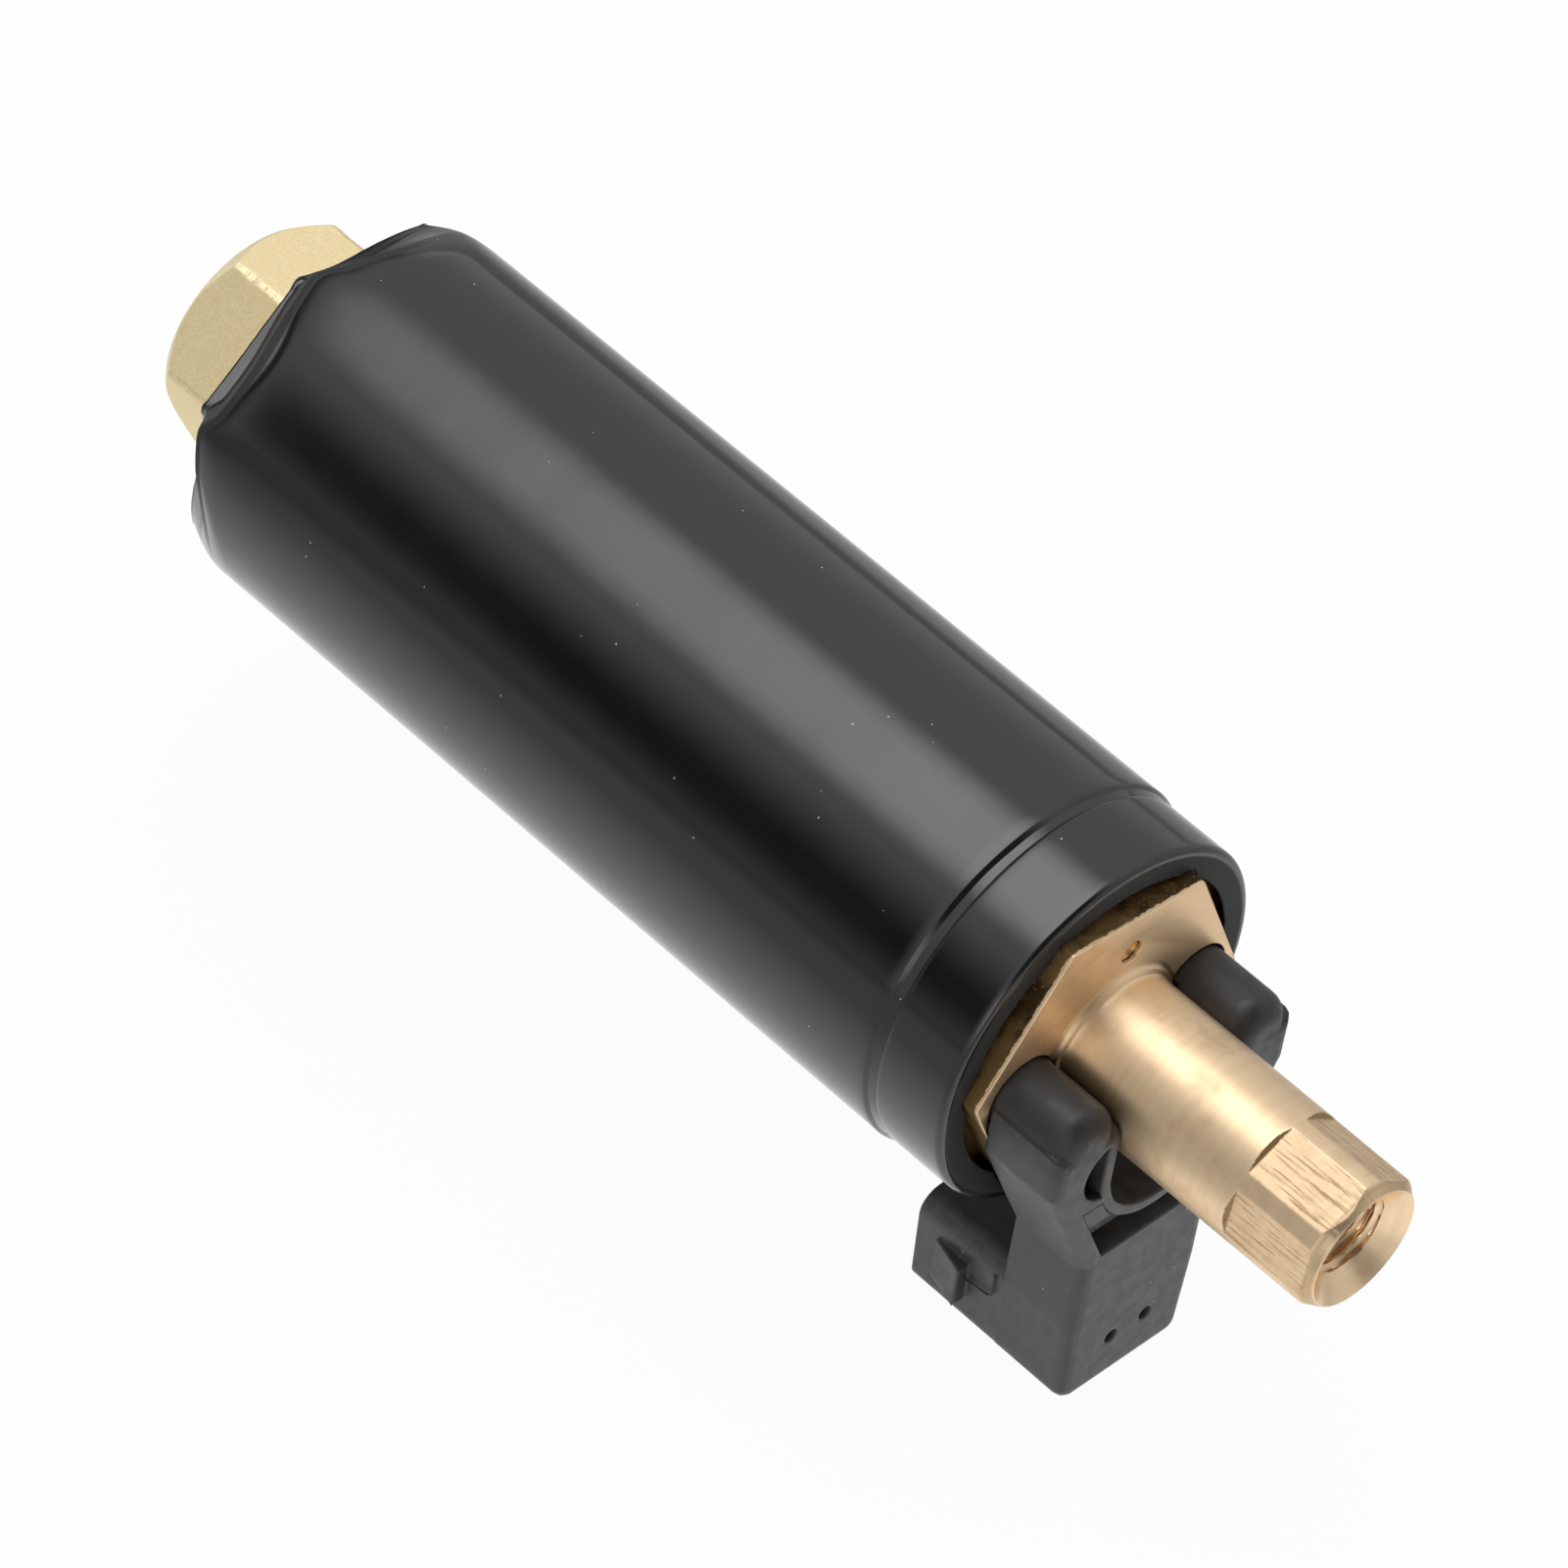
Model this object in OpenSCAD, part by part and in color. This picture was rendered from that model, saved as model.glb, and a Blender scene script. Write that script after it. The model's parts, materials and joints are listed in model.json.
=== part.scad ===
// In-line electric fuel pump, in millimetres.
// X runs along the pump axis to the outlet, Z is up and the socket hangs towards -Z.
// The origin is on the axis, half way along the full diameter of the can.

/* [Can and film] */
// Length of the full-diameter body, outlet rim to rear shoulder
can_l = 131; // [128:0.5:140]
// Outside diameter over the shrink film
film_d = 52; // [50:0.1:54]
// Thickness of the shrink film
film_t = 0.4; // [0.3:0.05:0.5]
// Wall of the steel can
can_wall = 1.5; // [1.3:0.1:1.7]
// Outlet rim to the middle of the rolled groove
groove_back = 11.5; // [11:0.1:12.5]
// Half width of the rolled groove
groove_half = 1.3; // [1.0:0.1:1.6]
// Depth of the rolled groove
groove_deep = 0.8; // [0.5:0.1:1.0]
// How much smaller the ring in front of the groove is, on the radius
lip_step = 0.5; // [0.3:0.1:0.7]
// Radius of the rolled outlet rim
lip_r = 1.5; // [1.2:0.1:1.8]
// How far the rolled outlet rim reaches in from the film's outside
lip_reach = 3.2; // [2.9:0.1:3.3]
// Length of the rear shoulder from the round can to its hexagonal edge
shoulder_l = 6.2; // [5.5:0.1:7.5]
// How far the flats of the rear hexagon lie below the film's outside
shoulder_sink = 6.75; // [6.5:0.05:7]
// Turn of the shoulder's hexagon about the axis
shoulder_turn = 43.6; // [30:0.2:60]

/* [Outlet cap] */
// Hexagon of the outlet flange, across flats
flange_af = 38.5; // [38:0.1:39]
// Turn of the flange's hexagon about the axis
flange_turn = -4; // [-8:0.5:8]
// How far the flange stands out of the rim
flange_out = 2; // [1.5:0.1:3]
// Depth of the cap's round body inside the can
cap_l = 14; // [13:0.5:16]
// Diameter of the neck
neck_d = 18.9; // [18.5:0.1:19.1]
// Length of the neck from the flange face to its mouth
neck_l = 41.7; // [38:0.1:48]
// Diameter of the small bead at the foot of the neck
bead_d = 20.4; // [20:0.1:21]
// Six flats of the neck, across flats
neck_af = 17.4; // [17.2:0.1:18]
// Length of the six flats
neck_flat_l = 13.7; // [11:0.1:16]
// Turn of the six flats about the axis
neck_turn = 25.3; // [15:0.1:35]
// Nominal thread of the outlet
outlet_thread_d = 12; // [11:0.5:12.5]
// Length of the outlet thread
outlet_thread_l = 13; // [11:0.5:14]
// Diameter of the conical mouth
mouth_d = 16.4; // [15.5:0.1:16.6]
// Depth of the conical mouth
mouth_deep = 2.7; // [2:0.1:3.5]
// Diameter of the punch mark in the flange face
dimple_d = 2.6; // [2:0.1:3]
// Distance of the punch mark from the axis
dimple_at = 13.7; // [13:0.1:15]
// Angle of the punch mark round the axis
dimple_turn = 85; // [70:1:100]

/* [Inlet cap] */
// Inlet hexagon, across flats
inlet_af = 28; // [27:0.5:30]
// Length of the inlet hexagon
inlet_l = 12.8; // [11:0.1:16]
// Turn of the inlet hexagon about the axis
inlet_turn = 52; // [40:1:60]
// Nominal thread of the inlet
inlet_thread_d = 18; // [16:0.5:19]
// Length of the inlet thread
inlet_thread_l = 11; // [9:0.5:12]

/* [Socket moulding] */
// Distance between the two boots
boot_pitch = 28.9; // [28.8:0.1:29.4]
// Diameter of a boot where it enters the flange
boot_d = 9.9; // [9.8:0.1:10]
// Clearance of a boot in its hole, on the radius
boot_gap = 0.35; // [0.2:0.05:0.5]
// Outlet rim to the front face of the moulding
arm_front = 13.8; // [13:0.1:15]
// Half width over the two arms
arm_half = 19.6; // [19.6:0.1:20]
// Drop from the axis to where the arms start to draw in
knee_drop = 6.2; // [5:0.1:8]
// Half width of the body under the arms
waist_half = 10.8; // [10.5:0.1:11]
// Drop from the axis to the waist
waist_drop = 24.3; // [23.5:0.1:26]
// Clearance of the saddle round the neck
saddle_gap = 0.3; // [0.2:0.05:0.4]
// Drop from the axis to the middle of the saddle's curve
saddle_drop = 7.5; // [6.5:0.1:8]
// Wall of the saddle and of the inner walls
saddle_wall = 1.4; // [1.2:0.1:1.6]
// Radius of the pocket beside each inner wall
pocket_r = 4.85; // [4.4:0.05:5]
// Depth of the pocket
pocket_deep = 5; // [4:0.1:5.5]
// Height of the dark slot under the lid
slot_h = 2.8; // [2.4:0.1:3.2]
// Depth of the channel that takes the lid
channel_deep = 3.4; // [3:0.1:4]
// Width of the socket
socket_w = 22; // [21.6:0.1:23]
// Height of the socket
socket_h = 15.6; // [15:0.1:17]
// Drop from the axis to the underside of the socket
socket_drop = 49; // [48.5:0.1:51]
// Outlet rim back to the mouth of the socket
socket_back = 12; // [11:0.1:14]
// Depth of the socket
socket_deep = 10.5; // [10:0.1:11]
// Wall of the socket
socket_wall = 1.5; // [1.3:0.1:1.8]
// Corner radius of the socket
socket_round = 3; // [2.5:0.1:3.5]
// Distance between the two blades
blade_pitch = 5.9; // [5.5:0.1:6.3]
// Width of a blade
blade_w = 2.8; // [2.6:0.1:3]
// Thickness of a blade
blade_t = 0.8; // [0.7:0.05:0.9]
// Length of a blade inside the socket
blade_l = 8.5; // [7.5:0.1:9]
// Diameter of the two core holes in the front face
core_hole_d = 2.1; // [1.8:0.1:2.4]

/* [Motor] */
// Diameter of the shaft
shaft_d = 6; // [5.6:0.1:6.4]
// Thickness of each magnet
magnet_t = 7.9; // [7.7:0.1:8.4]
// Distance from the pump and from the commutator to the armature's iron
armature_clear = 12.7; // [12:0.1:14]
// Slots in the armature
slot_n = 8; // [7:1:9]
// Air gap between the armature and the magnets
air_gap = 0.6; // [0.5:0.05:0.8]
// Arc of each magnet
magnet_arc = 130; // [120:1:140]
// Diameter of the flat commutator
commutator_d = 21; // [20.4:0.2:22]
// Thickness of the commutator
commutator_t = 4; // [3.5:0.1:5]
// Side of a square brush
brush_w = 4.6; // [4.4:0.1:4.7]
// Length of a brush
brush_l = 9; // [8:0.1:10]
// Distance from the axis to the middle of a brush
brush_at = 7.6; // [7.5:0.1:7.8]
// Length of a brush spring pressed shut
brush_spring_shut = 3.9; // [3.6:0.1:4.5]
// Travel of a brush against its spring
brush_travel = 2.5; // [2:0.1:2.8]
// Diameter of a terminal stud
stud_d = 4; // [3.6:0.1:4.2]

/* [Pump stage] */
// Distance from the edge of the plates to the relief valve and the screws
port_in = 3.6; // [3.4:0.1:3.8]
// Distance from the relief valve and the screws to the impeller's rim
port_land = 3.9; // [3.7:0.1:4.4]
// Thickness of the impeller
impeller_t = 3.8; // [3.4:0.1:4.4]
// Vanes on each face of the impeller
vane_n = 37; // [31:1:43]
// Depth of the vanes
vane_h = 3.2; // [2.8:0.1:3.6]
// Depth of the side channel in each plate
channel_h = 1.8; // [1.4:0.1:2.2]
// Thickness of the inlet-side plate
cover_t = 6.5; // [6.3:0.1:7]
// Thickness of the outlet-side plate behind the impeller
body_t = 6; // [5.5:0.1:7]

/* [Valves] */
// Diameter of the check valve's chamber in the neck
chamber_d = 12.8; // [12.4:0.1:13.2]
// Bore of the check valve's seat
seat_bore = 7.4; // [7:0.1:7.8]
// Travel of the check valve
check_travel = 2.5; // [2:0.1:3]
// Length of the check valve's spring pressed shut
check_spring_shut = 6.5; // [6:0.1:7.5]
// Diameter of the relief valve's ball
relief_ball_d = 3.4; // [3.2:0.1:3.5]
// Travel of the relief valve
relief_travel = 1.4; // [1:0.1:1.6]
// Length of the relief valve's spring pressed shut
relief_spring_shut = 7.65; // [7.2:0.05:7.8]

/* [Clearances] */
// Running clearance on the radius of a turning fit
run_gap = 0.03; // [0.02:0.01:0.06]
// Clearance on the radius of a piece pushed into its seat
seat_gap = 0.05; // [0.03:0.01:0.08]
// Clearance of a sliding piece in its guide
slide_gap = 0.12; // [0.1:0.01:0.2]
// Gap between faces that turn or part
face_gap = 0.25; // [0.2:0.05:0.3]

/* [Hidden] */
$fn = 96;

// Can and film
film_r = film_d / 2;
can_r = film_r - film_t;
can_ir = can_r - can_wall;
x_rim = can_l / 2;
x_tail = -can_l / 2;
x_groove = x_rim - groove_back;
lip_out = film_r - lip_step;
lip_bore_r = film_r - lip_reach;
can_front_ir = can_ir - lip_step;
fold_in = lip_bore_r + 0.2;
tail_lip_t = 1.2;
shoulder_af = film_d - 2 * shoulder_sink;

// Outlet cap
thread_drop = 0.75;
x_flange = x_rim + flange_out;
x_mouth = x_flange + neck_l;
x_cap_front = x_rim - lip_r - film_t - 0.3;
x_cap_in = x_cap_front - cap_l;
neck_r = neck_d / 2;
bead_l = 0.7;
outlet_r = outlet_thread_d / 2 - thread_drop;
x_thread = x_mouth - mouth_deep - outlet_thread_l;
passage_r = 2.8;
chamber_r = chamber_d / 2;
flange_corner = min(flange_af / 2 / cos(30) - 0.3, lip_bore_r - 0.7);
bead_room = groove_half + 0.6;
o_ring_r = 1.1;
o_ring_w = 2.8;
x_ring_out = x_cap_front - 3.6;

// Inlet cap
x_tail_face = x_tail - shoulder_l;
x_inlet = x_tail_face - inlet_l;
inlet_r = inlet_thread_d / 2 - thread_drop;
inlet_through = inlet_r - 2;
inlet_corner = inlet_af / 2 / cos(30);
inlet_bevel = 1.8;
x_inlet_in = x_tail + 11;
x_ring_in = x_tail + 6;
inlet_lead = 1.2;
x_thread_in = x_inlet + inlet_lead + inlet_thread_l;
strainer_r = inlet_r - 0.6;
strainer_rim = 1;
x_strainer = x_thread_in + strainer_rim + 0.2;
tail_hex_af = shoulder_af - 0.2;
tail_lip_r = tail_hex_af / 2 / cos(30) + 0.35;

// Pump stage, counted from the inlet cap
x_cover = x_inlet_in;
x_cavity = x_cover + cover_t;
cavity_t = impeller_t + 2 * face_gap;
x_cavity_end = x_cavity + cavity_t;
x_body_out = x_cavity_end + body_t;
plate_r = can_ir - 0.1;
port_at = plate_r - port_in;
impeller_r = port_at - port_land;
channel_r = impeller_r - vane_h / 2;
channel_w = vane_h + 1;
port_r = 1.9;
feed_deep = 1.8;
stripper_start = 112;
stripper_end = 148;
out_port_turn = 170;
balance_r = 1.6;
balance_at = (impeller_r - vane_h + shaft_d / 2) / 2 - 0.2;
shaft_r = shaft_d / 2;
flat_z = shaft_r - 0.8;
bush_r = shaft_r + 1.4;
bush_l = 7;
ball_r = 1.5;
x_ball = x_cavity - 2.4;
x_shaft = x_ball + ball_r + 0.05;
screw_r = 1.5;
screw_head_r = 2.6;
screw_head_l = 2.4;
screw_deep = 5;
screw_turns = [210, 330];

// Motor, counted from the outlet cap
holder_t = 4;
brush_spring_l = brush_travel + brush_spring_shut;
x_spring_seat = x_cap_in - holder_t / 2;
x_brush_back = x_spring_seat - brush_spring_l;
x_brush = x_brush_back - brush_l;
x_commutator = x_brush - face_gap;
tube_l = 8.4;
tube_wall = 1.4;
hole_half = brush_w / 2 + slide_gap;
flow_at = port_at - 4;
flow_r = 2.6;
flow_deep = 1.5;
x_armature = x_body_out + armature_clear;
armature_l = x_commutator - commutator_t - armature_clear - x_armature;
magnet_or = can_ir - 0.1;
magnet_ir = magnet_or - magnet_t;
armature_r = magnet_ir - air_gap;
slot_low = 7.5;
slot_high = armature_r - 1.4;
slot_w = 4.2;
overhang = 6;
x_magnet = x_armature - overhang;
magnet_l = armature_l + 2 * overhang;
clip_t = 0.6;

// Socket moulding
boot_r = boot_d / 2;
boot_y = boot_pitch / 2;
boot_hole_r = boot_r + boot_gap;
boot_round = 3;
edge_r = 1.6;
knee_round = 2;
foot_round = 2.1;
arm_top = 0.8;
foot_half = socket_w / 2 - 0.9;
ridge_drop = socket_drop - socket_h + 2;
ridge_half = socket_w / 2 - 0.12;
x_boot = x_flange - 3;
x_boot_floor = x_boot - 0.3;
x_arm = x_flange + 0.3;
x_front = x_rim + arm_front;
x_socket = x_rim - socket_back;
u_in = neck_r + saddle_gap;
u_out = u_in + saddle_wall;
blade_z = -(socket_drop - socket_h / 2);
slot_rise = 1.6;
slot_z = -(waist_drop - slot_rise);
lug_back = 3.6;
lug_l = 5.2;
lug_w = 6.4;
lug_high = 1.6;
slot_half = 8.4;
slot_deep = 5.4;
lid_gap = 0.12;
lid_drop = 4.1;
lid_lip = 0.6;
lid_top = -(saddle_drop + lid_drop);
scoop_r = 9;
scoop_deep = 1.8;
x_strip = x_arm + 4;
stud_r = stud_d / 2;
sleeve_wall = 1.2;
sleeve_r = stud_r + sleeve_wall;
sleeve_lip = 0.8;
sleeve_flange = 0.9;
nut_af = 7;
nut_t = 2.6;
stud_head_t = 1.4;
stud_out = 0.9;

// Valves
seat_l = 3.5;
x_seat = x_cap_in + 9;
x_poppet = x_seat + seat_l + 0.1;
poppet_head = 2;
poppet_skirt = 5;
poppet_r = 4.7;
check_spring_l = check_travel + check_spring_shut;
x_check_spring = x_poppet + poppet_head + poppet_skirt;
x_chamber = x_check_spring + check_spring_l;
relief_r = relief_ball_d / 2;
relief_bore = relief_r + slide_gap;
relief_hole = 1.2;
relief_seat_l = 2;
relief_seat_r = relief_bore + 0.7;
x_relief_seat = x_body_out - relief_seat_l;
x_relief_ball = x_relief_seat - sqrt(relief_r * relief_r - relief_hole * relief_hole) - 0.05;
x_relief_stop = x_relief_ball - relief_r - relief_travel - relief_spring_shut;

// A rod along X from x0 to x1
module rod_x(x0, x1, r, r2 = -1) {
    translate([x0, 0, 0]) rotate([0, 90, 0]) cylinder(h = x1 - x0, r1 = r, r2 = r2 < 0 ? r : r2);
}

// A tube along X from x0 to x1
module tube_x(x0, x1, r, bore) {
    difference() {
        rod_x(x0, x1, r);
        rod_x(x0 - 1, x1 + 1, bore);
    }
}

// A hexagonal bar along X with a corner at the angle turn, seen from +X
module hex_x(x0, x1, af, turn) {
    translate([x0, 0, 0]) rotate([0, 90, 0]) rotate([0, 0, turn + 90])
        cylinder(h = x1 - x0, r = af / 2 / cos(30), $fn = 6);
}

// A solid turned about X from a list of [x, radius]
module turned(profile) {
    rotate([0, 90, 0]) rotate_extrude() polygon([for (p = profile) [p[1], p[0]]]);
}

// A flat outline in Y and Z pulled along X from x0 to x1
module prism_x(x0, x1) {
    translate([x0, 0, 0]) rotate([90, 0, 90]) linear_extrude(x1 - x0) children();
}

// Points of an arc in [x, radius] about c, from angle a0 to a1
function arc(c, r, a0, a1, n = 8) =
    [for (i = [0 : n]) let(a = a0 + (a1 - a0) * i / n) [c[0] + r * cos(a), c[1] + r * sin(a)]];

function unit(v) = v / norm(v);

// One corner of an outline, rounded with radius r in n steps
function corner(p0, p1, p2, r, n) =
    let(a = unit(p0 - p1), b = unit(p2 - p1), half = acos(a * b) / 2,
        c = p1 + unit(a + b) * r / sin(half), t = p1 + a * r / tan(half) - c,
        s = p1 + b * r / tan(half) - c,
        start = atan2(t[1], t[0]),
        turn = sign(t[0] * s[1] - t[1] * s[0]) * (180 - 2 * half))
    [for (i = [0 : n]) c + r * [cos(start + turn * i / n), sin(start + turn * i / n)]];

// The corner p1 of an outline moved by d to the left of its two edges
function mitre(p0, p1, p2, d) =
    let(a = unit(p1 - p0), b = unit(p2 - p1), m = unit([-(a[1] + b[1]), a[0] + b[0]]))
    p1 + m * d / (m * [-a[1], a[0]]);

// A closed outline from [point, radius] pairs
function rounded(list, n = 5) =
    let(m = len(list))
    [for (i = [0 : m - 1])
        each list[i][1] <= 0 ? [list[i][0]] :
            corner(list[(i + m - 1) % m][0], list[i][0], list[(i + 1) % m][0], list[i][1], n)];

// Helical springs: ring centres, ring points, and one unbroken tube
curl_rings = 8;
wire_sides = 6;

function curl_at(x0, l, r, curls, i) =
    let(a = 360 * i / curl_rings)
    [x0 + l * i / (curls * curl_rings), r * cos(a), r * sin(a)];

function wire_ring(x0, l, r, curls, wire_r, i) =
    let(a = 360 * i / curl_rings, c = curl_at(x0, l, r, curls, i),
        out = [0, cos(a), sin(a)],
        along = unit([l / (curls * 360), -r * sin(a) * PI / 180, r * cos(a) * PI / 180]),
        side = cross(along, out))
    [for (k = [0 : wire_sides - 1])
        c + wire_r * (cos(360 * k / wire_sides) * out + sin(360 * k / wire_sides) * side)];

// Least gap of a coil to itself, measured on its ring centres half a turn apart or more
function coil_gap(x0, l, r, curls, wire_r) =
    let(last = curls * curl_rings)
    min([for (i = [0 : last], j = [i + curl_rings / 2 : last])
        if (j <= last) norm(curl_at(x0, l, r, curls, i) - curl_at(x0, l, r, curls, j))])
    - 2 * wire_r;

module coil(x0, l, r, curls, wire_r) {
    last = curls * curl_rings;
    s = wire_sides;
    points = [for (i = [0 : last]) each wire_ring(x0 + wire_r, l - 2 * wire_r, r, curls, wire_r, i)];
    sides = [for (i = [0 : last - 1], k = [0 : s - 1])
        let(a = i * s + k, b = i * s + (k + 1) % s)
        each [[a, b + s, b], [a, a + s, b + s]]];
    start = [for (k = [1 : s - 2]) [0, k, k + 1]];
    end = [for (k = [1 : s - 2]) [last * s, last * s + k + 1, last * s + k]];
    polyhedron(points = points, faces = concat(sides, start, end));
    echo(coil_gap_mm = coil_gap(x0 + wire_r, l - 2 * wire_r, r, curls, wire_r));
}

// Rear shoulder: a rounded end brought to a hexagon by three rows of flats on an elliptic line
shoulder_rows = 3;
hex_round = 0.25;

function ellipse_at(r0, r1, t) = [x_tail - shoulder_l * sin(t), r1 + (r0 - r1) * cos(t)];

module shoulder_flats(r, af) {
    step = 90 / shoulder_rows;
    big = 60;
    for (side = [0 : 5], k = [0 : shoulder_rows - 1]) {
        a = ellipse_at(r + 0.1, af / 2, step * k);
        d = ellipse_at(r + 0.1, af / 2, step * (k + 1)) - a;
        rotate([shoulder_turn + 30 + 60 * side, 0, 0])
            translate([a[0], a[1], 0]) rotate([0, 0, atan2(d[1], d[0])])
                translate([-big / 2, -big / 3, -big / 2]) cube([big, big / 3, big]);
    }
}

// Round line of the shoulder where the hexagon's corners are
function shoulder_line(r, af) =
    [for (k = [0 : 8]) ellipse_at(r, af / 2 / cos(30) - hex_round, 90 - 90 * k / 8)];

// Outside of the film, closed to the axis
module film_outside() {
    dip = film_r - groove_deep;
    af = shoulder_af + 2 * film_t;
    difference() {
        turned(concat(
            [[x_tail_face, 0]], shoulder_line(film_r, af),
            [[x_groove - groove_half, film_r], [x_groove - 0.2, dip], [x_groove + 0.2, dip],
                [x_groove + groove_half, lip_out]],
            arc([x_rim - lip_r, lip_out - lip_r], lip_r, 90, 0), [[x_rim, 0]]));
        shoulder_flats(film_r, af);
    }
}

// Space inside the film, open at both ends
module film_inside() {
    dip = film_r - groove_deep - film_t;
    difference() {
        turned(concat(
            [[x_tail_face - 1, 0], ellipse_at(can_r, shoulder_af / 2 / cos(30) - hex_round, 90)
                - [1, 0]], shoulder_line(can_r, shoulder_af),
            [[x_groove - groove_half, can_r], [x_groove - 0.2, dip], [x_groove + 0.2, dip],
                [x_groove + groove_half, lip_out - film_t]],
            arc([x_rim - lip_r, lip_out - lip_r], lip_r - film_t, 90, 0), [[x_rim - film_t, 0]]));
        shoulder_flats(can_r, shoulder_af);
    }
    rod_x(x_rim - 1, x_rim + 1, fold_in);
}

// Shrink film: thin, dips into the groove and folds over both ends
module film_sleeve() {
    color([0.03, 0.03, 0.035])
        difference() {
            film_outside();
            film_inside();
        }
}

module can_shell() {
    gap = 0.02;
    dip = groove_deep + gap;
    x_lip = x_cap_front + 0.15;
    color([0.45, 0.45, 0.47])
        turned([[x_tail, can_r - gap], [x_groove - groove_half - 0.1, can_r - gap],
            [x_groove - 0.3, can_r - dip], [x_groove + 0.3, can_r - dip],
            [x_groove + groove_half + 0.1, lip_out - film_t - gap],
            [x_rim - lip_r, lip_out - film_t - gap],
            [x_rim - lip_r + 0.7, lip_out - film_t - 0.4],
            [x_rim - film_t - gap, lip_out - lip_r], [x_rim - film_t - gap, lip_bore_r],
            [x_lip, lip_bore_r], [x_lip, can_front_ir],
            [x_groove + groove_half + 0.3, can_front_ir],
            [x_groove + 0.4, can_ir - groove_deep], [x_groove - 0.4, can_ir - groove_deep],
            [x_groove - groove_half - 0.3, can_ir], [x_tail + tail_lip_t, can_ir],
            [x_tail + tail_lip_t, tail_lip_r], [x_tail, tail_lip_r]]);
}

// Groove round a cap that takes an O-ring against a wall of radius wall_r
module ring_groove(x, wall_r) {
    tube_x(x - o_ring_w / 2, x + o_ring_w / 2, wall_r + 1, wall_r - 2 * o_ring_r - 2 * seat_gap);
}

module o_ring(x, wall_r) {
    color([0.08, 0.08, 0.08])
        translate([x, 0, 0]) rotate([0, 90, 0]) rotate_extrude()
            translate([wall_r - o_ring_r - seat_gap, 0]) circle(r = o_ring_r, $fn = 32);
}

module outlet_o_ring() { o_ring(x_ring_out, can_front_ir); }

module inlet_o_ring() { o_ring(x_ring_in, can_ir); }

module outlet_cap() {
    x_step = x_groove + bead_room;
    color([0.80, 0.66, 0.46])
        difference() {
            union() {
                turned([[x_cap_in, 0], [x_cap_in, can_ir - seat_gap],
                    [x_groove - bead_room, can_ir - seat_gap],
                    [x_groove - bead_room, can_ir - groove_deep - 0.3],
                    [x_step, can_ir - groove_deep - 0.3], [x_step, can_front_ir - seat_gap],
                    [x_cap_front, can_front_ir - seat_gap], [x_cap_front, 0]]);
                intersection() {
                    hex_x(x_cap_front - 1, x_flange, flange_af, flange_turn);
                    turned([[x_cap_front - 2, 0], [x_cap_front - 2, flange_corner],
                        [x_flange - 0.5, flange_corner], [x_flange, flange_corner - 0.6],
                        [x_flange, 0]]);
                }
                turned([[x_flange - 1, 0], [x_flange - 1, bead_d / 2],
                    [x_flange + 0.3, bead_d / 2], [x_flange + bead_l, neck_r],
                    [x_mouth - 0.9, neck_r], [x_mouth, neck_r - 0.8], [x_mouth, 0]]);
            }
            ring_groove(x_ring_out, can_front_ir);
            neck_flats();
            outlet_way();
            rotate([dimple_turn, 0, 0]) translate([x_flange + 0.5, dimple_at, 0])
                sphere(r = dimple_d / 2);
            for (side = [-1, 1])
                translate([0, side * boot_y, 0]) {
                    rod_x(x_boot_floor, x_flange + 1, boot_hole_r);
                    rod_x(x_cap_in - 1, x_flange, sleeve_r + seat_gap);
                }
        }
}

// What is cut away for the six flats at the mouth
module neck_flats() {
    difference() {
        rod_x(x_mouth - neck_flat_l, x_mouth + 1, neck_r + 1);
        hex_x(x_mouth - neck_flat_l - 1, x_mouth + 2, neck_af, neck_turn);
    }
}

// Mouth, thread, passage and valve chamber of the outlet
module outlet_way() {
    turned([[x_mouth + 1, 0], [x_mouth + 1, mouth_d / 2], [x_mouth, mouth_d / 2],
        [x_mouth - mouth_deep, outlet_r], [x_mouth - mouth_deep, 0]]);
    rod_x(x_thread, x_mouth, outlet_r);
    rod_x(x_chamber - 1, x_thread + 1, passage_r);
    rod_x(x_cap_in - 1, x_chamber, chamber_r);
}

module inlet_cap() {
    color([0.84, 0.73, 0.50])
        difference() {
            union() {
                rod_x(x_tail + tail_lip_t + 0.1, x_inlet_in, can_ir - seat_gap);
                hex_x(x_tail_face + film_t, x_tail + 3, tail_hex_af, shoulder_turn);
                intersection() {
                    hex_x(x_inlet, x_tail_face + 2, inlet_af, inlet_turn);
                    turned([[x_inlet, 0], [x_inlet, inlet_corner - inlet_bevel],
                        [x_inlet + 1, inlet_corner], [x_tail_face + 3, inlet_corner],
                        [x_tail_face + 3, 0]]);
                }
            }
            ring_groove(x_ring_in, can_ir);
            turned([[x_inlet - 1, 0], [x_inlet - 1, inlet_r + inlet_lead], [x_inlet, inlet_r + inlet_lead],
                [x_inlet + inlet_lead, inlet_r], [x_inlet + inlet_lead, 0]]);
            rod_x(x_inlet + 1, x_thread_in, inlet_r);
            rod_x(x_thread_in - 1, x_strainer, strainer_r);
            rod_x(x_strainer - 1, x_inlet_in + 1, inlet_through);
        }
}

// Fine gauze cup on the shoulder behind the inlet thread
module inlet_strainer() {
    wall = 0.5;
    mouth = inlet_through - 2 * seat_gap;
    taper = inlet_through / 4;
    deep = inlet_through - 0.25;
    color([0.70, 0.70, 0.72])
        turned([[x_strainer - strainer_rim, strainer_r - seat_gap],
            [x_strainer - 0.02, strainer_r - seat_gap], [x_strainer - 0.02, mouth],
            [x_strainer + deep - 2, mouth - taper], [x_strainer + deep - 0.5, mouth - 2.6 * taper],
            [x_strainer + deep, 0], [x_strainer + deep - wall, 0],
            [x_strainer + deep - 0.5 - wall, mouth - 2.6 * taper - wall],
            [x_strainer + deep - 2 - wall, mouth - taper - wall],
            [x_strainer - strainer_rim, mouth - wall]]);
}

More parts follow.
